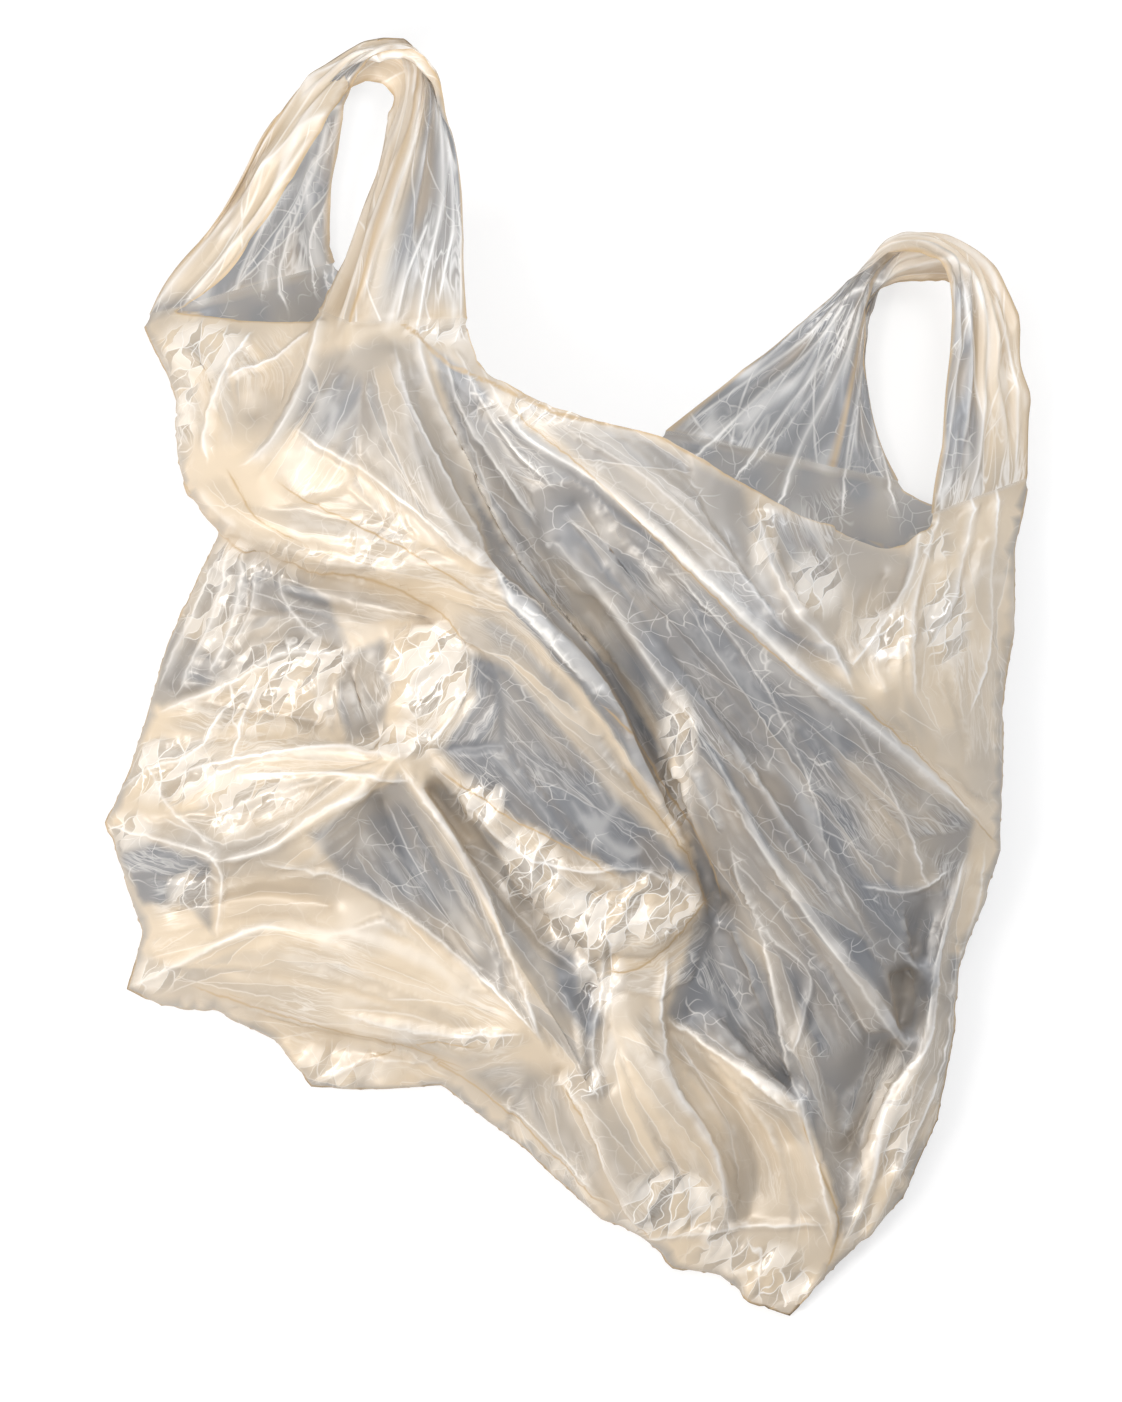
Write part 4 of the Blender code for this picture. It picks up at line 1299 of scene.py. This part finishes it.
def gathers(values):
    """The gathers across a handle's film, from about -1 to 1, not the same on both handles."""
    across, along = values[:, ACROSS_STRIP], values[:, ALONG_STRIP]
    side = 60 * values[:, RIGHT_STRIP]
    count, rows, seed, wide_share = WIDE_GATHERS
    wide = ridges(lattice_noise(across * count + 9 + side, along * rows + 9, seed))
    count, rows, seed, fine_share = FINE_GATHERS
    fine = ridges(lattice_noise(across * count + 9, along * rows + 9 + side, seed))
    return wide_share * wide + fine_share * fine


class FilmPoints:
    """What the wrinkles and the colours go by at each point of the finer film."""

    def __init__(self, values, shape):
        self.plan = plan_of(values[:, PLACE], shape)
        self.strip = values[:, STRIP]
        self.back = values[:, BACK]
        self.right = values[:, RIGHT_STRIP]
        self.across_strip = values[:, ACROSS_STRIP]
        self.along_strip = values[:, ALONG_STRIP]
        self.front = (1 - self.strip) * (1 - self.back)
        self.across, self.along, self.fold_gap, self.clear = fold_places(self.plan, values)
        self.rim_gap = edge_gap(self.plan, values)
        self.crush = np.clip(crushed(self.plan), 0, 1)
        self.calm = 0.55 + 0.45 * smooth_noise(*self.plan.T, CALM_PATCHES)
        self.fold_cells = facet_cells(self.across, self.along, FOLD_FACETS)
        self.crush_cells = facet_cells(*self.plan.T, CRUSH_FACETS, CRUSH_JAGGED)
        self.crests = ridges(smooth_noise(self.across, self.along, LONG_CRESTS))
        self.threads = ridges(smooth_noise(self.across, self.along, LONG_THREADS))
        self.gathered = gathers(values)


def cut_finer(values, faces, shape):
    """The film in metres, cut finer and eased, and what is known of its points.

    Points on a fold or an edge are eased least, so that film between them is even.
    """
    values = values.copy()
    values[:, PLACE] = place(values[:, PLACE], shape)
    for _ in range(shape.finer):
        values, faces = subdivided(values, faces)
    film = FilmPoints(values, shape)
    slack = EASED * smoothstep(0, EASED_GAP, np.minimum(film.fold_gap, film.rim_gap))
    values[:, PLACE] = eased(values[:, PLACE], faces, EASED, 1)
    values[:, PLACE] = eased(values[:, PLACE], faces, slack[:, None], EASED_ROUNDS)
    return values, faces, film


def wrinkle_heights(film, shape):
    """How far facets, long wrinkles and gathers stand out at each point, in metres."""
    narrow_cells = facet_cells(film.across, film.along, NARROW_FACETS)
    half_cells = facet_cells(*film.plan.T, HALF_CRUSH_FACETS, CRUSH_JAGGED)
    narrow = NARROW_RISE * facet_noise(narrow_cells, NARROW_FACETS)
    push = FOLD_RISE * facet_noise(film.fold_cells, FOLD_FACETS)
    push += film.calm * (narrow + CREST_RISE * film.crests + THREAD_RISE * film.threads)
    push *= shape.wrinkle * film.clear * (film.front + BACK_WRINKLE * film.back)
    small = CRUSH_RISE * facet_noise(film.crush_cells, CRUSH_FACETS)
    small += HALF_CRUSH_RISE * facet_noise(half_cells, HALF_CRUSH_FACETS)
    push += shape.crumple * (film.crush + CALM_CRUSH) * film.front * small
    from_feet = np.sin(math.pi * np.clip(film.along_strip, 0, 1))
    depth = shape.pleat * film.gathered * np.minimum(1.0, GATHER_ONSET * from_feet)
    return push + depth * film.strip


def drawn_lines(plan, lines, where):
    """How high lines stand, in their own heights, and their strokes, on one part of the film."""
    rise = np.zeros(len(plan))
    strokes = Strokes(len(plan))
    for height, half_width, strength, line in lines:
        mask, gap = line_mask(plan, line, half_width)
        rise += height * mask * where
        strokes.add(strength * mask * where, gap)
    return rise, strokes


def painted_highlights(film, pleats, standing):
    """How much painted highlight the film gets at each point, from 0 to 1: on crests and threads
    beside folds, on pleats, on the handles' gathers and on standing crests, where stretched film
    also whitens.
    """
    beside_folds = film.calm * film.clear * film.front
    return np.maximum.reduce([
        0.4 * smoothstep(0.7, 1.0, film.crests) * beside_folds,
        0.4 * smoothstep(0.65, 0.95, film.threads) * beside_folds,
        0.55 * smoothstep(0.2, 1.0, pleats.strength),
        0.7 * smoothstep(0.5, 0.95, film.gathered) * film.strip,
        0.7 * smoothstep(*STANDING, standing),
    ])


def painted_crease_shade(film, creases, standing):
    """How much painted shade the film gets at each point, from 0 to 1: in the handles' gathers, in
    hollows beside crests, in sunken points and along the shaded crease lines.
    """
    beside_folds = film.calm * film.clear * film.front
    hollow = 0.3 * smoothstep(-0.1, -0.9, film.crests) * beside_folds
    return np.maximum.reduce([
        0.7 * smoothstep(0.1, -0.8, film.gathered) * film.strip + hollow,
        0.3 * smoothstep(*STANDING, -standing),
        0.6 * creases.strength,
    ])


def creased(values, faces, shape):
    """The film cut finer, with its wrinkles, crushed facets, pleats and gathers.

    It also gives the measures that the material reads at each point.
    """
    values, faces, film = cut_finer(values, faces, shape)
    raised, pleats = drawn_lines(film.plan, PLEATS, film.front)
    elsewhere = np.minimum(film.strip + film.back, 1)
    others_raised, others = drawn_lines(film.plan, HANDLE_PLEATS, elsewhere)
    pleats.add(others.strength, others.gap)
    push = wrinkle_heights(film, shape)
    push += PLEAT_RISE * raised + HANDLE_PLEAT_RISE * others_raised
    values[:, PLACE] += push[:, None] * normals_of(values[:, PLACE], faces)
    values[:, HEIGHT] = np.maximum(values[:, HEIGHT], 0.0)

    standing = crease_heights(values[:, PLACE], faces)
    flat_lines = [(0, *line) for line in SHADED_CREASE_LINES]
    creases = drawn_lines(film.plan, flat_lines, film.front)[1]
    # Painted highlights on crests and pleats, and painted shade in hollows and creases, which the
    # material reads as white and brown.
    tones = [painted_highlights(film, pleats, standing), painted_crease_shade(film, creases, standing)]
    white, brown = eased(np.column_stack(tones), faces, EASED, 1).T
    return values, faces, {
        "grey": grey_and_painted_shade(film),
        "white": white,
        "brown": brown,
        "pleat": pleats.strength,
        "pleat_gap": pleats.gap,
        "crease": creases.strength,
        "crease_gap": creases.gap,
        "edge_gap": film.rim_gap,
        "across_fold": film.across,
        "along_fold": film.along,
        "clear_fold": film.clear,
        "crushed": film.crush * film.front,
        "fold_cell_across": film.fold_cells[0],
        "fold_cell_down": film.fold_cells[1],
        "crush_cell_across": film.crush_cells[0],
        "crush_cell_down": film.crush_cells[1],
    }


def handle_greyness(film):
    """How grey a handle is, by the place on its strip: its back leg and its mouth side are grey,
    partly painted shade of their inner side.
    """
    across, along = film.across_strip, film.along_strip
    back_leg = 1 - smoothstep(*BACK_LEG_END, along)
    front_leg = FRONT_LEG_GREY * smoothstep(*FRONT_LEG_START, along)
    left = back_leg * (1 - smoothstep(0.40, 0.60, across))
    left += front_leg * (1 - smoothstep(0.42, 0.56, across))
    right = BACK_LEG_GREY * back_leg + front_leg * (1 - smoothstep(0.22, 0.36, across))
    found = left * (1 - film.right) + right * film.right
    foot = 1 - smoothstep(*BACK_FOOT, along)
    return found + foot * (FOOT_GREY - found)


def grey_and_painted_shade(film):
    """How grey the film looks at each point, from 0 to 1: single film with painted shade where
    folds shade it or the shaded inside shows through, and less grey in crushed spots, which are
    painted with glints.
    """
    found = np.full(len(film.plan), PLAIN_GREY)
    for strength, softness, loop in GREY_AND_SHADE_ZONES:
        within = np.where(inside(loop, film.plan), 1, -1)
        gap = chain_gap(film.plan, loop + loop[:1])[0] * within
        found += smoothstep(-softness, softness, gap) * (strength - found)
    found += 0.17 * film.clear * smooth_noise(film.across, film.along, LONG_TONE)
    found += 0.14 * film.clear * smooth_noise(film.across, film.along, FINE_TONE)
    found += 0.22 * smooth_noise(*film.plan.T, PATCH_TONE)
    back_grey = BACK_GREY + 0.3 * smooth_noise(*film.plan.T, BACK_TONE)
    found += film.back * (back_grey - found)
    off_front_foot = 1 - smoothstep(*FRONT_FOOT, film.along_strip)
    found += film.strip * off_front_foot * (handle_greyness(film) - found)
    return np.clip(found * (1 - 0.6 * film.crush), 0, 1)


def edge_gap(plan, values):
    """How far each point is from the seal, a side fold or a cut edge, in pixels."""
    edges = [
        BOTTOM_SEAL, LEFT_SIDE, RIGHT_SIDE, LEFT_GUSSET_RIM, FRONT_RIM, RIGHT_GUSSET_RIM, BACK_RIM
    ]
    gap = np.min([chain_gap(plan, line)[0] for line in edges], axis=0)
    across = values[:, ACROSS_STRIP]
    side_fold = np.abs(across - PANEL_COLUMNS / (PANEL_COLUMNS + GUSSET_COLUMNS))
    rim = STRIP_WIDTH * np.minimum(np.minimum(across, 1 - across), side_fold + SIDE_FOLD_GAP)
    return np.minimum(np.where(values[:, STRIP] > 0.5, rim, gap), FAR)


def add_measure(mesh, name, amounts):
    """A number for each point, which the material reads by its name."""
    layer = mesh.attributes.new(name, "FLOAT", "POINT")
    layer.data.foreach_set("value", np.asarray(amounts, np.float32))


def node(tree, kind, label, **settings):
    """A named node; a setting is one of its own properties."""
    made = tree.nodes.new(kind)
    made.name = made.label = label
    for key, value in settings.items():
        setattr(made, key, value)
    return made


def connect(tree, slot, value):
    """An input fed by a socket, or set to a number, a vector or a colour."""
    if isinstance(value, bpy.types.NodeSocket):
        tree.links.new(value, slot)
    else:
        slot.default_value = value


def feed(tree, made, values):
    """A node's inputs by their names, each fed by a socket or set."""
    for name, value in values.items():
        connect(tree, made.inputs[name], value)


def calculation(tree, kind, label, *inputs):
    """A Math node fed by sockets or numbers, and its result."""
    made = node(tree, "ShaderNodeMath", label, operation=kind)
    for slot, value in zip(made.inputs, inputs):
        connect(tree, slot, value)
    return made.outputs[0]


def product(tree, label, value, *shares):
    """A socket multiplied by each share in turn."""
    for share in shares:
        value = calculation(tree, "MULTIPLY", label, value, share)
    return value


def falling(tree, label, start, share):
    """The start less the share, and never below 0."""
    left = calculation(tree, "SUBTRACT", label, start, share)
    return calculation(tree, "MAXIMUM", label + " at least 0", left, 0.0)


def thin_line(tree, label, gap, width):
    """1 where the gap is 0, falling straight to 0 at the width."""
    share = calculation(tree, "DIVIDE", label + " in widths", gap, width)
    return falling(tree, label, 1.0, share)


def blended(tree, label, share, first, second):
    """A colour between two, by a share; each colour is a socket or a set colour."""
    made = node(tree, "ShaderNodeMix", label, data_type="RGBA")
    connect(tree, made.inputs[0], share)
    for slot, colour in ((made.inputs[6], first), (made.inputs[7], second)):
        is_socket = isinstance(colour, bpy.types.NodeSocket)
        connect(tree, slot, colour if is_socket else (*colour, 1.0))
    return made.outputs[2]


def patches(tree, label, noise, low, high):
    """1 where the noise is high, and 0 where it is low."""
    made = node(tree, "ShaderNodeMapRange", label)
    feed(tree, made, {"Value": noise.outputs["Fac"], "From Min": low, "From Max": high})
    return made.outputs[0]


def node_group(name, inputs, outputs):
    """A new node group, its In node and its Out node.

    Each input is (name, number), or (name, None) for a place. Each output is a number's name.
    """
    tree = bpy.data.node_groups.new(name, "ShaderNodeTree")
    for label, value in inputs:
        kind = "NodeSocketVector" if value is None else "NodeSocketFloat"
        socket = tree.interface.new_socket(label, in_out="INPUT", socket_type=kind)
        if value is not None:
            socket.default_value = value
    for label in outputs:
        tree.interface.new_socket(label, in_out="OUTPUT", socket_type="NodeSocketFloat")
    return tree, node(tree, "NodeGroupInput", "In"), node(tree, "NodeGroupOutput", "Out")


def hair_wrinkle_group():
    """Short hair-fine wrinkles in patches, some straight and some curled: their mask."""
    inputs = [("Vector", None), ("Scale", 150.0), ("Width", 0.055), ("Patches", 70.0)]
    tree, start, end = node_group("Hair wrinkles", inputs, ["Lines"])
    spot, scale, width, patch_scale = start.outputs[:4]
    where = node(tree, "ShaderNodeTexNoise", "Where", noise_dimensions="2D")
    feed(tree, where, {"Vector": spot, "Scale": patch_scale, "Detail": 1.0})
    bent = node(tree, "ShaderNodeVectorMath", "Bent", operation="MULTIPLY_ADD")
    for slot, value in zip(bent.inputs, (where.outputs["Color"], HAIR_BEND, spot)):
        connect(tree, slot, value)
    cells = node(tree, "ShaderNodeTexVoronoi", "Cells", voronoi_dimensions="2D",
                 feature="DISTANCE_TO_EDGE")
    feed(tree, cells, {"Vector": bent.outputs[0], "Scale": scale})
    line = thin_line(tree, "Line", cells.outputs["Distance"], width)
    patch = patches(tree, "Patch", where, *HAIR_PATCHES)
    connect(tree, end.inputs["Lines"], product(tree, "Lines in patches", line, patch))
    return tree


def facet_group():
    """Flat facets, two to a cell: a random value for each, from 0 to 1, which sets how it is
    painted lit or shaded, and the borders between them.
    """
    inputs = [("Across", 0.0), ("Down", 0.0), ("Cell width", 24.0), ("Cell height", 24.0),
              ("Line width", 1.2)]
    tree, start, end = node_group("Facets", inputs, ["Tone", "Borders"])
    across, down, width, height, line_width = start.outputs[:5]
    both = calculation(tree, "ADD", "Both", across, down)
    cell = node(tree, "ShaderNodeCombineXYZ", "Cell")
    for slot, label, value in zip(cell.inputs, ("Column", "Row", "Half"), (across, down, both)):
        connect(tree, slot, calculation(tree, "FLOOR", label, value))
    tone = node(tree, "ShaderNodeTexWhiteNoise", "Tone of facet", noise_dimensions="3D")
    connect(tree, tone.inputs["Vector"], cell.outputs[0])
    connect(tree, end.inputs["Tone"], tone.outputs["Value"])
    gaps = []
    for label, value, size in (
        ("Side", across, width), ("Top", down, height), ("Diagonal", both, width)
    ):
        away = calculation(tree, "PINGPONG", label, value, 0.5)
        gaps.append(product(tree, label + " in pixels", away, size))
    nearest = calculation(tree, "MINIMUM", "Nearer", gaps[0], gaps[1])
    nearest = calculation(tree, "MINIMUM", "Nearest", nearest, gaps[2])
    connect(tree, end.inputs["Borders"], thin_line(tree, "Border", nearest, line_width))
    return tree


def fold_wrinkle_group():
    """Feathery wrinkles that run beside the folds: their mask."""
    inputs = [("Across", 0.0), ("Along", 0.0), ("Width", 6.0), ("Length", 70.0),
              ("Sharpness", 9.0)]
    tree, start, end = node_group("Fold wrinkles", inputs, ["Lines"])
    across, along, width, length, sharpness = start.outputs[:5]
    spot = node(tree, "ShaderNodeCombineXYZ", "Beside the fold")
    connect(tree, spot.inputs[0], calculation(tree, "DIVIDE", "In widths", across, width))
    connect(tree, spot.inputs[1], calculation(tree, "DIVIDE", "In lengths", along, length))
    noise = node(tree, "ShaderNodeTexNoise", "Wrinkles", noise_dimensions="2D")
    feed(tree, noise, {"Vector": spot.outputs[0], "Scale": 1.0, "Detail": 2.0, "Distortion": 0.6})
    away = calculation(tree, "SUBTRACT", "Away", noise.outputs["Fac"], 0.5)
    away = calculation(tree, "ABSOLUTE", "Either way", away)
    line = falling(tree, "Line", 1.0, product(tree, "Sharper", away, sharpness))
    connect(tree, end.inputs["Lines"], line)
    return tree


def measure(tree, name):
    """The number that the mesh's points carry under this name."""
    made = node(tree, "ShaderNodeAttribute", name, attribute_type="GEOMETRY", attribute_name=name)
    return made.outputs["Fac"]


def stroke(tree, name, width):
    """A thin line of this width in pixels where the points' gap is 0, by the points' strength."""
    gap = calculation(tree, "ABSOLUTE", "Gap to " + name, measure(tree, name + "_gap"))
    line = thin_line(tree, "Line of " + name, gap, width)
    strength = product(tree, "Stronger " + name, measure(tree, name), STROKE_GAIN)
    strength = calculation(tree, "MINIMUM", "Full " + name, strength, 1.0)
    return product(tree, "Stroke of " + name, line, strength)


def facet_nodes(tree):
    """The flat facets beside the folds and in crushed spots: each kind's random value, for its
    painted light and shade, and its borders, for painted highlights.
    """
    group = facet_group()
    found = {}
    for kind, width, height in (
        ("fold", FOLD_FACETS.wide, FOLD_BORDER_LENGTH),
        ("crush", CRUSH_FACETS.wide, CRUSH_FACETS.tall),
    ):
        made = node(tree, "ShaderNodeGroup", kind + " facets", node_tree=group)
        feed(tree, made, {
            "Across": measure(tree, kind + "_cell_across"),
            "Down": measure(tree, kind + "_cell_down"),
            "Cell width": width,
            "Cell height": height,
        })
        found[kind] = made.outputs
    return found


def grey_share(tree, facets, crush, clear):
    """How grey the film is, from 0 to 1, with painted light and shade on each fold facet and
    painted shade on dark crushed facets.
    """
    tone = calculation(tree, "SUBTRACT", "Fold tone", facets["fold"]["Tone"], MEAN_TONE)
    tone = product(tree, "Clear fold tone", tone, clear)
    grey = calculation(
        tree, "MULTIPLY_ADD", "With fold tone", tone, FOLD_FACET_LIGHT_AND_SHADE, measure(tree, "grey")
    )
    dark = calculation(tree, "LESS_THAN", "Dark facets", facets["crush"]["Tone"], SHADED_FACET_TONE)
    dark = product(tree, "Crushed dark facets", dark, crush)
    grey = calculation(tree, "MULTIPLY_ADD", "With dark facets", dark, SHADED_FACET_GREY, grey)
    grey = calculation(tree, "MINIMUM", "Grey at most", grey, 1.0)
    return calculation(tree, "MAXIMUM", "Grey at least", grey, 0.0)


def highlight_share(tree, facets, crush, clear, strong):
    """How pale the film is painted by its highlights, from 0 to 1: on its fine wrinkles, on the
    borders of its facets and on glinting crushed facets.
    """
    group = fold_wrinkle_group()
    drawn = []
    for label, width, length, sharpness in WRINKLE_KINDS:
        made = node(tree, "ShaderNodeGroup", label, node_tree=group)
        feed(tree, made, {
            "Across": measure(tree, "across_fold"),
            "Along": measure(tree, "along_fold"),
            "Width": width,
            "Length": length,
            "Sharpness": sharpness,
        })
        drawn.append(made.outputs[0])
    pale = calculation(tree, "MAXIMUM", "All wrinkles", *drawn)
    pale = product(tree, "Wrinkle strength", pale, strong, clear, WRINKLE_HIGHLIGHT)
    bright = calculation(tree, "GREATER_THAN", "Bright", facets["crush"]["Tone"], GLINT_FACET_TONE)
    for label, shares in (
        ("fold borders", (facets["fold"]["Borders"], clear, FOLD_BORDER_HIGHLIGHT)),
        ("crushed borders", (facets["crush"]["Borders"], crush)),
        ("bright facets", (bright, crush, GLINT_FACET_PALE)),
    ):
        more = product(tree, "Of " + label, *shares)
        pale = calculation(tree, "MAXIMUM", "With " + label, pale, more)
    return pale


def edge_share(tree):
    """How brown the cut edges and the side folds are, from 0 to 0.9, by the gap to them."""
    share = calculation(tree, "DIVIDE", "Edge in widths", measure(tree, "edge_gap"), EDGE_WIDTH)
    share = falling(tree, "Edge line", EDGE_START, share)
    return calculation(tree, "MINIMUM", "Edge at most", share, MOST_EDGE)


def steep_share(tree):
    """How brown steep film is, which is seen nearly on end, from 0 to 0.9."""
    steep = node(tree, "ShaderNodeLayerWeight", "Steepness")
    steep.inputs["Blend"].default_value = 0.36
    share = calculation(tree, "POWER", "Steep only", steep.outputs["Facing"], 4.0)
    share = product(tree, "Steep strength", share, 1.1)
    return calculation(tree, "MINIMUM", "Steep at most", share, MOST_EDGE)


def film_colour(tree, grey, hair, pale, strong, colours):
    """The film's colour: cream to grey, with painted shade, then each kind of line and edge laid
    over it: painted highlights on hairs, creases, wrinkles and pleats, and painted shade in hollows
    and along creases.
    """
    # The white measure and the wrinkles are painted highlights; the brown measure is painted shade.
    white = product(tree, "White strength", measure(tree, "white"), 0.8)
    white = calculation(tree, "MAXIMUM", "White and wrinkles", white, pale)
    uneven = calculation(tree, "MULTIPLY_ADD", "Uneven", strong, 0.75, 0.35)
    pleats = product(tree, "Uneven pleats", stroke(tree, "pleat", PLEAT_WIDTH), uneven)
    brown = product(tree, "Brown strength", measure(tree, "brown"), 0.7)
    body = blended(tree, "Body colour", grey, colours.cream, colours.grey)
    for label, share, colour in (
        ("hairs", hair, colours.crease),
        ("brown", brown, colours.edge),
        ("creases", white, colours.crease),
        ("brown creases", stroke(tree, "crease", CREASE_WIDTH), colours.edge),
        ("pleats", pleats, colours.crease),
        ("edges", edge_share(tree), colours.edge),
        ("steep film", steep_share(tree), colours.edge),
    ):
        body = blended(tree, "With " + label, share, body, colour)
    return body


def new_material(name):
    """A material, with its node tree, its main shader and its output."""
    material = bpy.data.materials.new(name)
    material.use_nodes = True
    nodes = material.node_tree.nodes
    return material, material.node_tree, nodes["Principled BSDF"], nodes["Material Output"]


def show_mixed(tree, output, share, first, second):
    """Two shaders mixed by a share and put out as the surface."""
    mixed = node(tree, "ShaderNodeMixShader", "Mixed")
    for slot, value in zip(mixed.inputs, (share, first.outputs[0], second.outputs[0])):
        connect(tree, slot, value)
    connect(tree, output.inputs["Surface"], mixed.outputs[0])


def film_material(colours):
    """Thin milky film: grey where it is single, with painted shade, cream where double or lit, with
    painted highlights on creases and painted shade in hollows.
    """
    material, tree, shader, output = new_material("film")
    spot = node(tree, "ShaderNodeTexCoord", "Place").outputs["Object"]
    noise = node(tree, "ShaderNodeTexNoise", "Wrinkled patches", noise_dimensions="2D")
    feed(tree, noise, {"Vector": spot, "Scale": 22.0, "Detail": 1.0})
    strong = patches(tree, "Strong patches", noise, *STRONG_PATCHES)
    hairs = node(tree, "ShaderNodeGroup", "Hairs", node_tree=hair_wrinkle_group())
    connect(tree, hairs.inputs["Vector"], spot)

    crush = measure(tree, "crushed")
    clear = measure(tree, "clear_fold")
    facets = facet_nodes(tree)
    grey = grey_share(tree, facets, crush, clear)
    pale = highlight_share(tree, facets, crush, clear, strong)
    # Painted highlights along hair-fine wrinkles, stronger on grey film.
    hair = calculation(tree, "MULTIPLY_ADD", "More where grey", grey, HAIR_HIGHLIGHT_ON_GREY, HAIR_HIGHLIGHT_PLAIN)
    hair = product(tree, "Hair strength", hairs.outputs[0], hair)
    body = film_colour(tree, grey, hair, pale, strong, colours)
    gloss = product(tree, "Glossier where crushed", crush, -0.17)
    thinner = product(tree, "Thinner where grey", grey, -0.12)
    feed(tree, shader, {
        "Base Color": body,
        "Roughness": calculation(tree, "ADD", "Roughness", gloss, colours.roughness),
        "IOR": 1.52,
        "Specular IOR Level": 0.9,
        "Metallic": 0.0,
        "Alpha": calculation(tree, "ADD", "Cover", thinner, 0.9),
    })
    through = node(tree, "ShaderNodeBsdfTranslucent", "Light from behind")
    connect(tree, through.inputs["Color"], body)
    show_mixed(tree, output, THROUGH_SHARE, shader, through)
    return material


def floor_material(studio):
    """A pale floor that the camera sees nearly white, and that keeps the bag's shadow."""
    material, tree, shader, output = new_material("pale floor")
    feed(tree, shader, {"Base Color": (*studio.floor_colour, 1.0), "Roughness": 0.9})
    glow = node(tree, "ShaderNodeEmission", "Glow")
    glow.inputs["Strength"].default_value = 1.0
    rays = node(tree, "ShaderNodeLightPath", "Ray").outputs
    seen = calculation(
        tree, "MAXIMUM", "Seen", rays["Is Camera Ray"], rays["Is Transmission Ray"]
    )
    show_mixed(tree, output, product(tree, "Glow share", seen, FLOOR_GLOW), shader, glow)
    return material


class BAG_OT_film(bpy.types.Operator):
    """Builds the bag: both panels, the gussets, the seal and the two handle loops"""

    bl_idname = "bag.film"
    bl_label = "Build the film bag"

    def execute(self, context):
        shape = context.scene.film_shape
        values, faces, measures = creased(*sheet_of_film(shape), shape)
        points = values[:, PLACE]
        mesh = bpy.data.meshes.new("bag_film")
        mesh.from_pydata(points.tolist(), [], faces.tolist())
        mesh.shade_smooth()
        for name, amounts in measures.items():
            add_measure(mesh, name, amounts)
        bag = bpy.data.objects.new("bag_film", mesh)
        context.scene.collection.objects.link(bag)
        mesh.materials.append(film_material(context.scene.film_colours))
        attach(bag, "root")
        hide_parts("carrier_bag")
        return {"FINISHED"}


def add_lamp(scene, name, spot, size, power, colour):
    """A square soft lamp at a place, turned to the bag."""
    lamp = bpy.data.lights.new(name, "AREA")
    lamp.shape = "SQUARE"
    lamp.size = size
    lamp.energy = power
    lamp.color = colour
    held = bpy.data.objects.new(name, lamp)
    scene.collection.objects.link(held)
    held.location = spot
    away = Vector(spot) - Vector(LAMP_AIM)
    held.rotation_euler = away.to_track_quat("Z", "Y").to_euler()


def add_floor(scene):
    """A wide floor just below the bag."""
    half = FLOOR_HALF
    corners = [(-half, -half, 0), (half, -half, 0), (half, half, 0), (-half, half, 0)]
    mesh = bpy.data.meshes.new("floor")
    mesh.from_pydata(corners, [], [(0, 1, 2, 3)])
    floor = bpy.data.objects.new("floor", mesh)
    floor.location.z = -FLOOR_DROP
    scene.collection.objects.link(floor)
    mesh.materials.append(floor_material(scene.bag_studio))


def add_world(scene):
    """A dim and slightly blue light from all sides."""
    world = bpy.data.worlds.new("studio")
    scene.world = world
    world.use_nodes = True
    background = world.node_tree.nodes["Background"]
    background.inputs["Color"].default_value = (0.93, 0.95, 1.0, 1.0)
    background.inputs["Strength"].default_value = 0.35


def add_camera(scene):
    """A camera straight above the bag, which sees what the reference picture shows."""
    shape = scene.film_shape
    height = scene.bag_studio.camera_height
    camera = bpy.data.objects.new("camera", bpy.data.cameras.new("camera"))
    scene.collection.objects.link(camera)
    metres_per_pixel = shape.laid_width / (PICTURE_RIGHT - PICTURE_LEFT)
    middle = place([(PICTURE_WIDTH / 2, PICTURE_HEIGHT / 2, 0)], shape)[0]
    camera.location = (middle[0], middle[1], height)
    focus_height = FOCUS_SHARE * shape.billow
    seen = metres_per_pixel * PICTURE_HEIGHT
    camera.data.lens = camera.data.sensor_width * (height - focus_height) / seen
    camera.data.clip_end = 30.0
    scene.camera = camera


class BAG_OT_studio(bpy.types.Operator):
    """Adds the pale floor, the soft lamps and the camera above the bag"""

    bl_idname = "bag.studio"
    bl_label = "Build the studio"

    def execute(self, context):
        scene = context.scene
        add_floor(scene)
        for name, power, spot, size, colour in LAMPS:
            add_lamp(scene, name, spot, size, getattr(scene.bag_studio, power), colour)
        add_world(scene)
        add_camera(scene)
        scene.view_settings.view_transform = "Standard"
        return {"FINISHED"}


class BAG_PT_panel(bpy.types.Panel):
    """Lists the bag's sizes and colours and the buttons that build it"""

    bl_label = "Carrier Bag"
    bl_idname = "BAG_PT_panel"
    bl_space_type = "VIEW_3D"
    bl_region_type = "UI"
    bl_category = "Carrier Bag"

    def draw(self, context):
        scene = context.scene
        for settings in (scene.film_shape, scene.film_colours, scene.bag_studio):
            box = self.layout.box()
            for name in settings.__annotations__:
                box.prop(settings, name)
        self.layout.operator(BAG_OT_film.bl_idname)
        self.layout.operator(BAG_OT_studio.bl_idname)


CLASSES = (FilmShape, FilmColours, StudioSettings, BAG_OT_film, BAG_OT_studio, BAG_PT_panel)


def register():
    for kind in CLASSES:
        bpy.utils.register_class(kind)
    bpy.types.Scene.film_shape = PointerProperty(type=FilmShape)
    bpy.types.Scene.film_colours = PointerProperty(type=FilmColours)
    bpy.types.Scene.bag_studio = PointerProperty(type=StudioSettings)


def unregister():
    del bpy.types.Scene.bag_studio
    del bpy.types.Scene.film_colours
    del bpy.types.Scene.film_shape
    for kind in reversed(CLASSES):
        bpy.utils.unregister_class(kind)


def main():
    register()
    bpy.ops.bag.studio()
    bpy.ops.bag.film()


if __name__ == "__main__":
    main()
